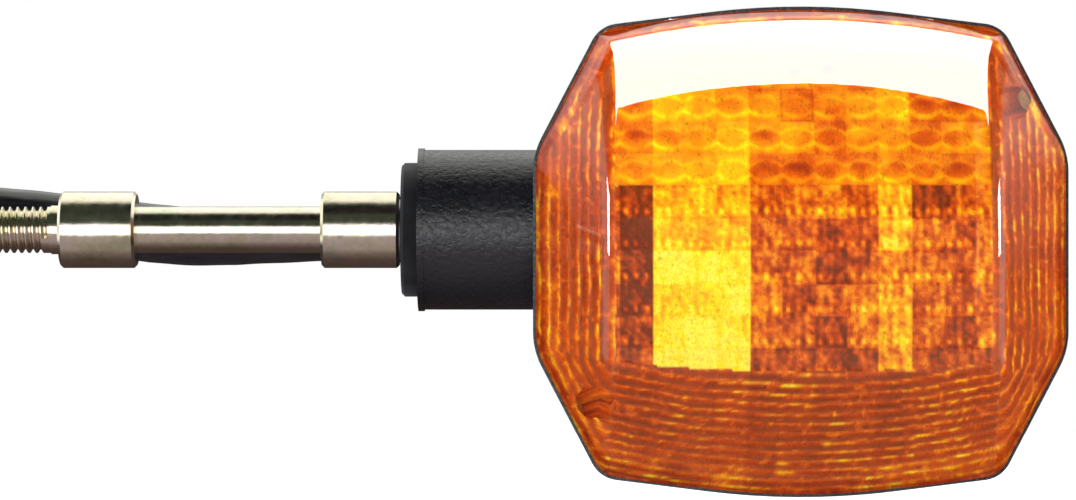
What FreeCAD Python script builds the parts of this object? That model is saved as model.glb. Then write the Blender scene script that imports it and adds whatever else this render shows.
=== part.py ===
import FreeCAD, Part

import math
import os

import Sketcher
from FreeCAD import Placement, Rotation, Vector

# A motorcycle turn signal indicator: a plated stem, a rubber damper, and a lamp head
# with an amber lens. The stem axis is the X axis and the lens faces -Y, with +Z up.
# The origin is on the stem axis, at the shoulder where the threaded stud begins.

DIMENSIONS = {
    # Stem: an M8 stud, a plain shaft and two pressed collars.
    "stem_radius": 3.8,
    "pilot_radius": 4.0,
    "pilot_length": 1.5,
    "stud_reach": 18.0,
    "thread_pitch": 1.25,
    "thread_depth": 0.7,
    "thread_mouth": 0.55,
    "thread_root": 0.08,
    "thread_overcut": 0.05,
    "thread_runout": 2.3,
    "collar_radius": 6.25,
    "outer_collar_length": 12.4,
    "inner_collar_start": 42.6,
    "inner_collar_end": 55.3,
    "collar_chamfer": 0.45,
    "collar_bore_chamfer": 0.45,
    "press_interference": 0.01,
    "stem_end": 82.2,
    # Rubber damper, its steel bush and the fasteners behind it.
    "damper_start": 55.7,
    "damper_radius": 10.93,
    "damper_edge": 0.5,
    "damper_recess_depth": 1.0,
    "damper_recess_radius": 8.0,
    "damper_core_radius": 5.0,
    "spigot_radius": 6.1,
    "bush_wall": 1.0,
    "running_gap": 0.05,
    "ring_length": 2.4,
    "washer_radius": 7.5,
    "washer_length": 1.5,
    "washer_chamfer": 0.2,
    "lock_washer_radius": 6.5,
    "lock_washer_length": 2.0,
    "lock_washer_sweep": 345.0,
    "nut_length": 6.5,
    "nut_across_flats": 13.0,
    "nut_bevel_depth": 0.8,
    "nut_bevel_reach": 1.4,
    # Housing neck.
    "neck_start": 58.4,
    "neck_radius": 13.05,
    "neck_bead": 0.25,
    "neck_bead_length": 1.0,
    "neck_bore_radius": 11.0,
    "web_start": 66.4,
    "web_length": 2.6,
    "neck_reach": 92.0,
    "neck_floor": 3.0,
    # Lamp outline, measured from the lamp's centre.
    "lamp_centre_x": 119.85,
    "lamp_centre_z": -3.6,
    "rim_half_width": 42.75,
    "rim_half_height": 40.1,
    "rim_side": 15.7,
    "rim_corner_x": 32.1,
    "rim_corner_z": 36.1,
    "rim_side_round": 12.0,
    "rim_corner_round": 5.0,
    "rim_crown_round": 120.0,
    # Depths along Y: the lens face is the most negative.
    "lip_front": -14.9,
    "lens_seat": -13.0,
    "reflector_flange": 0.7,
    "gasket_thickness": 0.8,
    "housing_back": 16.0,
    "housing_wall": 2.0,
    "lip_wall": 0.45,
    "ledge_width": 2.9,
    "ledge_thickness": 1.2,
    "cut_margin": 1.0,
    # Lens.
    "lens_wall": 2.2,
    "flange_front": -15.2,
    "face_front": -36.0,
    "face_plane": -38.0,
    "face_shift": -0.92,
    "face_half_width": 27.77,
    "face_corner_x": 26.6,
    "face_top_side": 22.4,
    "face_top_corner": 32.6,
    "face_top": 33.3,
    "face_bottom_side": 13.5,
    "face_bottom_corner": 15.4,
    "face_bottom": 15.9,
    "face_corner_round": 1.8,
    "face_side_round": 8.0,
    "face_crown_round": 40.0,
    "face_curve_across": 200.0,
    "face_curve_upright": 70.0,
    "face_curve_level": -5.0,
    # Lens screws, their bosses and the reflector.
    "boss_offset_x": 32.2,
    "boss_offset_z": 23.2,
    "boss_radius": 2.4,
    "boss_meet": -6.0,
    "boss_gap": 0.1,
    "boss_clearance": 0.3,
    "screw_radius": 1.45,
    "screw_length": 12.6,
    "screw_head_radius": 2.7,
    "screw_head_height": 1.9,
    "screw_head_round": 0.7,
    "screw_head_clearance": 0.3,
    "screw_seat": 2.0,
    "screw_bite": 0.15,
    "screw_pilot_depth": 7.0,
    "screw_post_wall": 1.4,
    "screw_slot_length": 3.4,
    "screw_slot_width": 0.8,
    "screw_slot_depth": 1.2,
    "reflector_wall": 1.4,
    "reflector_front": -12.95,
    "reflector_back": 2.6,
    "reflector_socket_clearance": 0.5,
    # Bulb and bayonet socket, on their own axis parallel to the stem.
    "bulb_axis_y": -13.0,
    "socket_start": 84.5,
    "socket_length": 13.0,
    "socket_radius": 8.35,
    "socket_wall": 0.6,
    "socket_lip": 0.5,
    "socket_roll": 2.0,
    "insulator_length": 1.0,
    "spring_length": 2.4,
    "spring_radius": 3.6,
    "spring_wire_radius": 0.2,
    "spring_turns": 2.5,
    "spring_end_gap": 0.05,
    "plunger_length": 1.0,
    "plunger_radius": 7.0,
    "plunger_bore": 1.0,
    "plunger_chamfer": 0.15,
    "button_radius": 1.6,
    "button_neck": 0.95,
    "button_tip": 1.1,
    "button_edge": 0.15,
    "button_length": 0.4,
    "button_tail": 1.6,
    "solder_length": 0.8,
    "solder_radius": 1.9,
    "solder_tip": 1.1,
    "solder_edge": 0.3,
    "bead_length": 1.2,
    "bead_radius": 6.4,
    "bead_tip": 4.2,
    "bead_step": 0.6,
    "bead_gap": 0.01,
    "bulb_base_radius": 7.5,
    "bulb_base_length": 9.8,
    "bulb_base_wall": 0.35,
    "bulb_base_edge": 0.5,
    "bulb_pin_offset": 3.3,
    "bulb_pin_root": 0.1,
    "bulb_pin_radius": 1.0,
    "bulb_pin_reach": 8.9,
    "bulb_glass_radius": 9.0,
    "bulb_glass_end": 119.6,
    "glass_wall": 0.7,
    "glass_gap": 0.1,
    "glass_overlap": 3.0,
    "mount_foot": 2.5,
    "mount_foot_radius": 4.0,
    "mount_skirt": 0.5,
    "mount_skirt_radius": 2.2,
    "mount_height": 3.0,
    "mount_tip_radius": 1.6,
    "support_radius": 0.22,
    "support_length": 6.5,
    "support_foot": 1.0,
    "support_knee": 2.2,
    "support_tip": 3.0,
    "filament_pitch": 0.5,
    "filament_length": 5.0,
    "filament_radius": 0.45,
    "filament_wire": 0.1,
    "filament_gap": 0.9,
    "bulb_push": 1.5,
    "bulb_turn": 24.0,
    "slot_gap": 0.15,
    "slot_tooth": 0.6,
    # Socket bracket.
    "bracket_thickness": 0.9,
    "bracket_width": 7.0,
    "bracket_foot_y": 2.2,
    "bracket_foot_x": 91.0,
    "bracket_foot_z": -14.5,
    "strap_front_y": -9.2,
    "bracket_hole_radius": 2.7,
    "bracket_disc_step": 0.6,
    "bracket_boss_radius": 3.2,
    "bracket_pilot_radius": 1.35,
    "bracket_pilot_end": 11.0,
    "foot_hole_radius": 1.6,
    "foot_screw_radius": 1.5,
    "foot_screw_length": 8.0,
    "foot_screw_head_radius": 2.6,
    "foot_screw_head_height": 1.6,
    "lug_thickness": 1.6,
    "lug_width": 3.0,
    "lug_length": 5.0,
    "lug_gap": 0.02,
    "lug_front_y": -8.0,
    "lug_bottom_z": -11.4,
    # Wiring.
    "wire_radius": 1.0,
    "wire_spacing": 1.5,
    "wire_passage_y": 8.75,
    "wire_hole_radius": 1.3,
    "sleeve_radius": 4.95,
    "sleeve_wall": 0.8,
    "sleeve_y": 12.45,
    "sleeve_inner_end": 49.5,
    "sleeve_outer_end": -42.0,
    "lead_end": -66.0,
    "lead_rise": 3.2,
    "lead_spread": 2.8,
    "bullet_radius": 1.95,
    "bullet_length": 9.0,
    "bullet_gap": 0.05,
    "bullet_crimp_radius": 1.2,
    "bullet_crimp_end": 3.2,
    "bullet_shoulder": 3.8,
    "bullet_nose": 1.6,
    "bullet_tip_radius": 0.8,
    "boot_radius": 2.6,
    "boot_start": -10.0,
    "boot_end": 2.8,
    "boot_clearance": 0.3,
    "boot_chamfer": 0.4,
}

doc = FreeCAD.newDocument("turn_signal")
sheet = doc.addObject("Spreadsheet::Sheet", "dims")
for row, (alias, value) in enumerate(DIMENSIONS.items(), start=1):
    sheet.set(f"A{row}", alias)
    sheet.set(f"B{row}", str(value))
    sheet.setAlias(f"B{row}", alias)
doc.recompute()

sub_parts = []


def size(name):
    """The value of one driving dimension, in millimetres or degrees."""
    return float(sheet.get(name))


# ---------------------------------------------------------------- sketch and feature helpers


def new_body(name, placement=None):
    body = doc.addObject("PartDesign::Body", name)
    body.Label = name
    if placement is not None:
        body.Placement = placement
    sub_parts.append(body)
    return body


def origin_plane(body, role):
    return next(item for item in body.Origin.OriginFeatures if item.Role == role)


def new_sketch(body, name, role="XY_Plane", offset=None):
    """A sketch on one of the body's own planes, with an optional offset expression."""
    sketch = body.newObject("Sketcher::SketchObject", name)
    sketch.AttachmentSupport = (origin_plane(body, role), [""])
    sketch.MapMode = "FlatFace"
    if offset is not None:
        sketch.setExpression(".AttachmentOffset.Base.z", offset)
    return sketch


def bind(sketch, constraint, expression):
    index = sketch.addConstraint(constraint)
    sketch.setExpression(f"Constraints[{index}]", expression)


def draw_polygon(sketch, corners):
    """A closed polygon whose corners are pairs of expressions, each one constrained."""
    spots = []
    for across, up in corners:
        spots.append(Vector(float(sketch.evalExpression(across)), float(sketch.evalExpression(up)), 0))
    first = sketch.GeometryCount
    count = len(spots)
    for index in range(count):
        sketch.addGeometry(Part.LineSegment(spots[index], spots[(index + 1) % count]))
    for index in range(count):
        here = first + index
        following = first + (index + 1) % count
        sketch.addConstraint(Sketcher.Constraint("Coincident", here, 2, following, 1))
    for index, (across, up) in enumerate(corners):
        here = first + index
        bind(sketch, Sketcher.Constraint("DistanceX", -1, 1, here, 1, spots[index].x), across)
        bind(sketch, Sketcher.Constraint("DistanceY", -1, 1, here, 1, spots[index].y), up)


def draw_circle(sketch, across, up, radius):
    centre = Vector(float(sketch.evalExpression(across)), float(sketch.evalExpression(up)), 0)
    reach = float(sketch.evalExpression(radius))
    index = sketch.addGeometry(Part.Circle(centre, Vector(0, 0, 1), reach))
    bind(sketch, Sketcher.Constraint("DistanceX", -1, 1, index, 3, centre.x), across)
    bind(sketch, Sketcher.Constraint("DistanceY", -1, 1, index, 3, centre.y), up)
    bind(sketch, Sketcher.Constraint("Radius", index, reach), radius)


def revolve(body, sketch, angle=360):
    feature = body.newObject("PartDesign::Revolution", f"{body.Name}_revolution")
    feature.Profile = sketch
    feature.ReferenceAxis = (sketch, ["H_Axis"])
    feature.Angle = angle
    return feature


def turned(name, profile, placement=None, angle=360):
    """A part turned about the body's X axis from a profile of (along, radius) pairs."""
    body = new_body(name, placement)
    sketch = new_sketch(body, f"{name}_profile")
    draw_polygon(sketch, profile)
    revolve(body, sketch, angle)
    return body


def tube_profile(start, end, inner, outer, chamfer="0"):
    """The cross-section of a plain tube, with a chamfer on both outer edges."""
    if chamfer == "0":
        return [(start, inner), (start, outer), (end, outer), (end, inner)]
    return [
        (start, inner),
        (start, f"{outer} - {chamfer}"),
        (f"{start} + {chamfer}", outer),
        (f"{end} - {chamfer}", outer),
        (end, f"{outer} - {chamfer}"),
        (end, inner),
    ]


def pad(body, sketch, length, reverse=False, middle=False):
    feature = body.newObject("PartDesign::Pad", f"{sketch.Name}_pad")
    feature.Profile = sketch
    feature.setExpression("Length", length)
    feature.Reversed = reverse
    feature.Midplane = middle
    return feature


def pocket(body, sketch, length, reverse=False, middle=False):
    feature = body.newObject("PartDesign::Pocket", f"{sketch.Name}_pocket")
    feature.Profile = sketch
    feature.setExpression("Length", length)
    feature.Reversed = reverse
    feature.Midplane = middle
    return feature


def part_feature(name, shape):
    feature = doc.addObject("Part::Feature", name)
    feature.Label = name
    feature.Shape = shape
    sub_parts.append(feature)
    return feature


# ---------------------------------------------------------------- stem


def cut_thread(body, name, start, length):
    """A helical V groove, cut from start towards +X over the given length."""
    sketch = new_sketch(body, name)
    root = "dims.stem_radius - dims.thread_depth"
    crest = "dims.stem_radius + dims.thread_overcut"
    draw_polygon(
        sketch,
        [
            (f"{start} - dims.thread_mouth", crest),
            (f"{start} - dims.thread_root", root),
            (f"{start} + dims.thread_root", root),
            (f"{start} + dims.thread_mouth", crest),
        ],
    )
    groove = body.newObject("PartDesign::SubtractiveHelix", f"{name}_helix")
    groove.Profile = sketch
    groove.ReferenceAxis = (sketch, ["H_Axis"])
    groove.Mode = "pitch-height-angle"
    groove.setExpression("Pitch", "dims.thread_pitch")
    groove.setExpression("Height", length)
    groove.Angle = 0


def make_stem_rod():
    """The steel rod: an outboard stud with a pilot at its root, and a plain shaft."""
    body = turned(
        "stem_rod",
        [
            ("-dims.stud_reach", "0"),
            ("-dims.stud_reach", "dims.stem_radius - dims.thread_depth"),
            ("-dims.stud_reach + dims.thread_depth", "dims.stem_radius"),
            ("-dims.pilot_length", "dims.stem_radius"),
            ("-dims.pilot_length", "dims.pilot_radius"),
            ("0", "dims.pilot_radius"),
            ("0", "dims.stem_radius"),
            ("dims.stem_end - dims.thread_depth", "dims.stem_radius"),
            ("dims.stem_end", "dims.stem_radius - dims.thread_depth"),
            ("dims.stem_end", "0"),
        ],
    )
    doc.recompute()
    cut_thread(body, "stud_thread", "-dims.stud_reach - dims.thread_pitch",
               "dims.stud_reach + dims.thread_pitch - dims.thread_runout")
    doc.recompute()


def make_collars():
    """Two plated collars pressed on the rod, with broken edges; the outer is the shoulder."""
    bore = "dims.stem_radius - dims.press_interference"
    length = "dims.outer_collar_length"
    chamfered = tube_profile("0", length, bore, "dims.collar_radius", "dims.collar_chamfer")
    mouth = [("dims.collar_bore_chamfer", bore), ("0", f"{bore} + dims.collar_bore_chamfer")]
    turned("outer_collar", mouth + chamfered[1:])
    start = "dims.inner_collar_start"
    end = "dims.inner_collar_end"
    turned("inner_collar", tube_profile(start, end, bore, "dims.collar_radius", "dims.collar_chamfer"))


# ---------------------------------------------------------------- damper

WEB_END = "dims.web_start + dims.web_length"
RING_START = f"{WEB_END} + dims.running_gap"
RING_END = f"{RING_START} + dims.ring_length"
WASHER_END = f"{RING_END} + dims.running_gap + dims.washer_length"
LOCK_END = f"{WASHER_END} + dims.lock_washer_length"
NUT_END = f"{LOCK_END} + dims.nut_length"


def drill_wire_holes(body, name, length, start):
    """Two holes along X for the wires, one above the other behind the stem."""
    sketch = new_sketch(body, name, "YZ_Plane", start)
    for side in ("-", ""):
        draw_circle(sketch, "dims.wire_passage_y", f"{side}dims.wire_spacing", "dims.wire_hole_radius")
    pocket(body, sketch, length, reverse=True)


def make_rubber_damper():
    """The moulded rubber bush: a plug in the neck with a spigot through the web.

    Its outer face is dished round the inner collar, so that the stem can tilt.
    """
    inner = "dims.damper_core_radius + dims.running_gap"
    recess_floor = "dims.damper_start + dims.damper_recess_depth"
    body = turned(
        "rubber_damper",
        [
            (recess_floor, inner),
            (recess_floor, "dims.damper_recess_radius"),
            ("dims.damper_start", "dims.damper_recess_radius"),
            ("dims.damper_start", "dims.damper_radius - dims.damper_edge"),
            ("dims.damper_start + dims.damper_edge", "dims.damper_radius"),
            ("dims.web_start - dims.running_gap", "dims.damper_radius"),
            ("dims.web_start - dims.running_gap", "dims.spigot_radius"),
            (WEB_END, "dims.spigot_radius"),
            (WEB_END, inner),
        ],
    )
    doc.recompute()
    drill_length = f"{WEB_END} - dims.damper_start + 2 * dims.cut_margin"
    drill_wire_holes(body, "damper_wire_holes", drill_length, "dims.damper_start - dims.cut_margin")


def make_damper_fittings():
    """The rubber ring behind the web, the steel bush, and the washers."""
    inner = "dims.damper_core_radius + dims.running_gap"
    stem_gap = "dims.stem_radius + dims.running_gap"
    washer_start = f"{RING_END} + dims.running_gap"
    turned("damper_ring", tube_profile(RING_START, RING_END, inner, "dims.washer_radius"))
    bush = tube_profile("dims.inner_collar_end", RING_END, stem_gap, "dims.damper_core_radius")
    turned("damper_bush", bush)
    washer = tube_profile(washer_start, WASHER_END, stem_gap, "dims.washer_radius", "dims.washer_chamfer")
    turned("damper_washer", washer)
    split_washer = tube_profile(WASHER_END, LOCK_END, stem_gap, "dims.lock_washer_radius")
    turned("lock_washer", split_washer, angle=size("lock_washer_sweep"))


NUT_SIDES = 6


def make_stem_nut():
    """The hexagon nut that pulls the damper up, with corners turned off both faces."""
    body = new_body("stem_nut")
    sketch = new_sketch(body, "nut_hexagon", "YZ_Plane", LOCK_END)
    corner = "dims.nut_across_flats / 2 / cos(30)"
    corners = []
    for index in range(NUT_SIDES):
        turn = 360 / NUT_SIDES * index
        corners.append((f"{corner} * sin({turn})", f"{corner} * cos({turn})"))
    draw_polygon(sketch, corners)
    draw_circle(sketch, "0", "0", "dims.stem_radius + dims.running_gap")
    pad(body, sketch, "dims.nut_length")
    doc.recompute()
    bevel = new_sketch(body, "nut_bevel")
    flat = "dims.nut_across_flats / 2"
    for face, inward in ((LOCK_END, "+"), (NUT_END, "-")):
        draw_polygon(
            bevel,
            [
                (face, flat),
                (f"{face} {inward} dims.nut_bevel_depth", f"{flat} + dims.nut_bevel_reach"),
                (face, f"{flat} + dims.nut_bevel_reach"),
            ],
        )
    groove = body.newObject("PartDesign::Groove", "nut_bevel_groove")
    groove.Profile = bevel
    groove.ReferenceAxis = (bevel, ["H_Axis"])
    groove.Angle = 360


# ---------------------------------------------------------------- lamp outline and lofts


def rounded_wire(corners, y):
    """A closed wire at depth y through (x, z, radius) corners, each one rounded."""
    count = len(corners)
    spots = [Vector(x, y, z) for x, z, radius in corners]
    pairs = []
    for index, (x, z, radius) in enumerate(corners):
        back = (spots[index - 1] - spots[index]).normalize()
        ahead = (spots[(index + 1) % count] - spots[index]).normalize()
        half_angle = back.getAngle(ahead) / 2
        reach = radius / math.tan(half_angle)
        middle_way = (back + ahead).normalize()
        middle = spots[index] + middle_way * (radius / math.sin(half_angle) - radius)
        pairs.append((spots[index] + back * reach, middle, spots[index] + ahead * reach))
    edges = []
    for index in range(count):
        start, middle, end = pairs[index]
        edges.append(Part.Arc(start, middle, end).toShape())
        edges.append(Part.LineSegment(end, pairs[(index + 1) % count][0]).toShape())
    return Part.Wire(edges)


# How far each measure of the octagon's corners shrinks for every millimetre of inset.
INSET_OF_SIDE = 0.25
INSET_OF_CORNER_X = 0.7
INSET_OF_CORNER_Z = 0.96
INSET_OF_CORNER_ROUND = 0.7


def outline(y, inset=0.0, scale=1.0):
    """The lamp's rounded octagon at depth y, brought in by an inset and then scaled."""
    half_width = size("rim_half_width") - inset
    half_height = size("rim_half_height") - inset
    side = size("rim_side") - INSET_OF_SIDE * inset
    corner_x = size("rim_corner_x") - INSET_OF_CORNER_X * inset
    corner_z = size("rim_corner_z") - INSET_OF_CORNER_Z * inset
    side_round = size("rim_side_round") - inset
    corner_round = size("rim_corner_round") - INSET_OF_CORNER_ROUND * inset
    quarter = [
        (half_width, side, side_round),
        (corner_x, corner_z, corner_round),
    ]
    crown = [(0, half_height, size("rim_crown_round"))]
    upper = quarter + crown + [(-x, z, r) for x, z, r in reversed(quarter)]
    lower = [(-x, -z, r) for x, z, r in upper]
    centre_x = size("lamp_centre_x")
    centre_z = size("lamp_centre_z")
    return rounded_wire(
        [(centre_x + x * scale, centre_z + z * scale, r * scale) for x, z, r in upper + lower], y
    )


def face_outline(inset=0.0):
    """The lens face's outline, where its facets meet the plane in front of the face."""
    wide = size("face_half_width") - inset
    corner = size("face_corner_x") - inset
    round_off = size("face_corner_round")
    side_round = size("face_side_round")
    crown_round = size("face_crown_round")
    upper = [
        (wide, size("face_top_side") - inset, side_round),
        (corner, size("face_top_corner") - inset, round_off),
        (0, size("face_top") - inset, crown_round),
        (-corner, size("face_top_corner") - inset, round_off),
        (-wide, size("face_top_side") - inset, side_round),
    ]
    lower = [
        (-wide, -size("face_bottom_side") + inset, round_off),
        (-corner, -size("face_bottom_corner") + inset, round_off),
        (0, -size("face_bottom") + inset, crown_round),
        (corner, -size("face_bottom_corner") + inset, round_off),
        (wide, -size("face_bottom_side") + inset, round_off),
    ]
    centre_x = size("lamp_centre_x") + size("face_shift")
    centre_z = size("lamp_centre_z")
    return rounded_wire([(centre_x + x, centre_z + z, r) for x, z, r in upper + lower], size("face_plane"))


def prism(wire, depth):
    return Part.Face(wire).extrude(Vector(0, depth, 0))


# The part of the upright radius that the barrel spans above and below its middle.
CROWN_SPAN = 0.9
# How much faster the outline draws in than the face does, so that the wall stays even.
FACE_INSET = 0.8


def crown_solid(front):
    """A barrel-shaped solid whose doubly curved skin is the crowned lens face."""
    across = size("face_curve_across") - (front - size("face_front"))
    upright = size("face_curve_upright") - (front - size("face_front"))
    level = size("lamp_centre_z") + size("face_curve_level")
    centre_x = size("lamp_centre_x")
    axis_y = front + across
    reach = upright * CROWN_SPAN
    sag = upright - math.sqrt(upright ** 2 - reach ** 2)
    low = Vector(centre_x, front + sag, level - reach)
    tip = Vector(centre_x, front, level)
    high = Vector(centre_x, front + sag, level + reach)
    axis_low = Vector(centre_x, axis_y, level - reach)
    axis_high = Vector(centre_x, axis_y, level + reach)
    edges = [
        Part.Arc(low, tip, high).toShape(),
        Part.LineSegment(high, axis_high).toShape(),
        Part.LineSegment(axis_high, axis_low).toShape(),
        Part.LineSegment(axis_low, low).toShape(),
    ]
    face = Part.Face(Part.Wire(edges))
    return face.revolve(Vector(centre_x, axis_y, 0), Vector(0, 0, 1), 360)


def lens_form(inset, front):
    """The solid bounded by the lens facets and the crowned face."""
    rim = outline(size("flange_front"), inset + size("lip_wall"))
    loft = Part.makeLoft([rim, face_outline(inset * FACE_INSET)], True, True)
    return loft.common(crown_solid(front))


def lamp_boss_spots():
    """The two lens screws: upper right and lower left, seen from the front."""
    centre_x = size("lamp_centre_x")
    centre_z = size("lamp_centre_z")
    return [
        (centre_x + side * size("boss_offset_x"), centre_z + side * size("boss_offset_z"))
        for side in (1, -1)
    ]


def rod_along_y(x, z, start, end, radius):
    return Part.makeCylinder(radius, end - start, Vector(x, start, z), Vector(0, 1, 0))


def lens_boss(x, z):
    """One post inside the lens, from its wall back to the housing's post."""
    half_wall = size("lens_wall") / 2
    radius = size("boss_radius")
    post = rod_along_y(x, z, size("face_front"), size("boss_meet"), radius)
    free_end = rod_along_y(x, z, size("flange_front"), size("boss_meet"), radius)
    return post.common(lens_form(half_wall, size("face_front") + half_wall).fuse(free_end))


def make_lens():
    """The amber lens: a crowned, faceted shell with a flange and two screw bosses."""
    wall = size("lens_wall")
    gap = size("running_gap")
    margin = size("cut_margin")
    lip = size("lip_wall") + gap
    outside = lens_form(gap, size("face_front"))
    flange_depth = size("lens_seat") - size("flange_front")
    flange = prism(outline(size("flange_front"), lip), flange_depth)
    opening = prism(outline(size("flange_front") - gap, lip + wall), flange_depth + 2 * gap)
    inside = lens_form(wall, size("face_front") + wall)
    shell = outside.fuse(flange).cut(inside.fuse(opening))
    for x, z in lamp_boss_spots():
        shell = shell.fuse(lens_boss(x, z))
        pilot_start = size("boss_meet") - size("screw_pilot_depth")
        pilot_radius = size("screw_radius") - size("screw_bite")
        shell = shell.cut(rod_along_y(x, z, pilot_start, size("boss_meet") + margin, pilot_radius))
    part_feature("lens", shell.removeSplitter())


# Depth and scale of each section of the rounded housing bowl, from its front to its back.
HOUSING_SECTIONS = ((-6.0, 0.985), (4.0, 0.9), (12.0, 0.72))
HOUSING_BACK_SCALE = 0.45
# How far the inner sections move forward for every millimetre of inset.
BOWL_SHIFT = 0.3


def housing_bowl(inset, front, back):
    """The smooth bowl behind the lens: a loft through shrinking outlines."""
    wires = [outline(front, inset)]
    for depth, scale in HOUSING_SECTIONS:
        wires.append(outline(depth - inset * BOWL_SHIFT, inset, scale))
    wires.append(outline(back, inset, HOUSING_BACK_SCALE))
    return Part.makeLoft(wires, True, False)


def rod_along_x(start, end, radius, y=0.0, z=0.0):
    return Part.makeCylinder(radius, end - start, Vector(start, y, z), Vector(1, 0, 0))


def hollow_bowl(body):
    """Opens the bowl: a recess for the lens, a ledge for the gasket and a cavity behind it."""
    wall = size("housing_wall")
    margin = size("cut_margin")
    lip = size("lip_wall")
    ledge = size("lens_seat") + size("reflector_flange") + size("gasket_thickness")
    under_ledge = ledge + size("ledge_thickness")
    recess_start = size("lip_front") - margin
    recess = prism(outline(recess_start, lip), ledge - recess_start)
    mouth = prism(outline(ledge - margin, lip + size("ledge_width")), 2 * margin + size("ledge_thickness"))
    cavity = housing_bowl(wall, ledge - margin, size("housing_back") - wall)
    in_front = prism(outline(ledge - 2 * margin, -margin), under_ledge - ledge + 2 * margin)
    behind_ledge = prism(outline(under_ledge, wall), margin)
    return body.cut(recess).cut(mouth).cut(cavity.cut(in_front).fuse(behind_ledge))


def bore_neck(body):
    """Bores the neck from both sides, leaving a web with holes for the spigot and the wires."""
    margin = size("cut_margin")
    web_start = size("web_start")
    web_end = web_start + size("web_length")
    bore = size("neck_bore_radius")
    body = body.cut(rod_along_x(size("neck_start") - margin, web_start, bore))
    body = body.cut(rod_along_x(web_end, size("neck_reach") - size("neck_floor"), bore))
    spigot_hole = size("spigot_radius") + size("running_gap")
    body = body.cut(rod_along_x(web_start - margin, web_end + margin, spigot_hole))
    for side in (-1, 1):
        passage = rod_along_x(web_start - margin, web_end + margin, size("wire_hole_radius"),
                              size("wire_passage_y"), side * size("wire_spacing"))
        body = body.cut(passage)
    return body


def add_screw_posts(body, bowl):
    """Adds the two posts that the lens screws pass through, with pockets for their heads."""
    margin = size("cut_margin")
    back = size("housing_back")
    post_start = size("boss_meet") + size("boss_gap")
    post_radius = size("screw_head_radius") + size("screw_post_wall")
    for x, z in lamp_boss_spots():
        body = body.fuse(rod_along_y(x, z, post_start, back, post_radius).common(bowl))
        screw_hole = size("screw_radius") + size("screw_bite")
        boss_hole = size("boss_radius") + size("boss_clearance")
        head_pocket = size("screw_head_radius") + size("screw_head_clearance")
        body = body.cut(rod_along_y(x, z, post_start - margin, back, screw_hole))
        body = body.cut(rod_along_y(x, z, size("flange_front"), post_start, boss_hole))
        body = body.cut(rod_along_y(x, z, size("screw_seat"), back + margin, head_pocket))
    return body


def add_bracket_boss(body, bowl):
    """Adds the post that the socket bracket's foot is screwed to."""
    x = size("bracket_foot_x")
    z = size("bracket_foot_z")
    start = size("bracket_foot_y") + size("bracket_thickness") + size("running_gap")
    post = rod_along_y(x, z, start, size("housing_back"), size("bracket_boss_radius"))
    body = body.fuse(post.common(bowl))
    return body.cut(rod_along_y(x, z, start - size("cut_margin"), size("bracket_pilot_end"),
                                size("bracket_pilot_radius")))


def make_housing():
    """The black body: a bowl, a lip around the lens, a neck with a web, and posts."""
    start = size("neck_start")
    neck = rod_along_x(start, size("neck_reach"), size("neck_radius"))
    bead = rod_along_x(start, start + size("neck_bead_length"), size("neck_radius") + size("neck_bead"))
    body = housing_bowl(0, size("lip_front"), size("housing_back")).fuse([neck, bead])
    body = bore_neck(hollow_bowl(body))
    half_wall = size("housing_wall") / 2
    bowl = housing_bowl(half_wall, size("lip_front"), size("housing_back") - half_wall)
    body = add_bracket_boss(add_screw_posts(body, bowl), bowl)
    part_feature("housing", body.removeSplitter())


def clear_of_bosses(shape):
    """Notches a shape where the two lens bosses pass it."""
    for x, z in lamp_boss_spots():
        hole = size("boss_radius") + size("boss_clearance")
        shape = shape.cut(rod_along_y(x, z, size("flange_front"), size("reflector_back"), hole))
    return shape


def make_gasket():
    """The flat rubber gasket between the reflector's flange and the housing ledge."""
    gap = size("running_gap")
    start = size("lens_seat") + size("reflector_flange") + gap / 2
    depth = size("gasket_thickness") - gap
    ring = prism(outline(start, size("lip_wall") + gap), depth)
    opening = outline(start - gap, size("lip_wall") + size("ledge_width") - gap)
    ring = ring.cut(prism(opening, depth + 2 * gap))
    part_feature("lens_gasket", clear_of_bosses(ring))


# Depth fraction and scale of each section of the reflector's dish.
REFLECTOR_SECTIONS = ((0.0, 0.93), (0.25, 0.8), (0.75, 0.62), (1.0, 0.42))
# The flange overlaps the dish's first section by this much of its scale.
FLANGE_OVERLAP = 0.01


def reflector_dish(inset, front, back):
    wires = []
    for fraction, scale in REFLECTOR_SECTIONS:
        wires.append(outline(front + fraction * (back - front), inset, scale))
    return Part.makeLoft(wires, True, False)


def make_reflector():
    """The metallised dish behind the bulb, flanged, and notched for socket and bosses."""
    front = size("reflector_front")
    back = size("reflector_back")
    wall = size("reflector_wall")
    gap = size("running_gap")
    lip = size("lip_wall")
    outside = reflector_dish(lip, front, back)
    inside = reflector_dish(lip + wall, front - gap, back - wall)
    flange = prism(outline(front, lip + gap), size("reflector_flange") - gap)
    opening_scale = REFLECTOR_SECTIONS[0][1] - FLANGE_OVERLAP
    flange = flange.cut(prism(outline(front - gap, lip, opening_scale), size("reflector_flange") + gap))
    dish = outside.fuse(flange).cut(inside)
    margin = size("cut_margin")
    socket_end = size("socket_start") + size("socket_length")
    hole_radius = size("bulb_pin_reach") + size("reflector_socket_clearance")
    hole = rod_along_x(size("neck_reach") - 2 * size("neck_radius"), socket_end + margin, hole_radius,
                       size("bulb_axis_y"), size("lamp_centre_z"))
    dish = clear_of_bosses(dish.cut(hole))
    part_feature("reflector", max(dish.Solids, key=lambda solid: solid.Volume))


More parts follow.
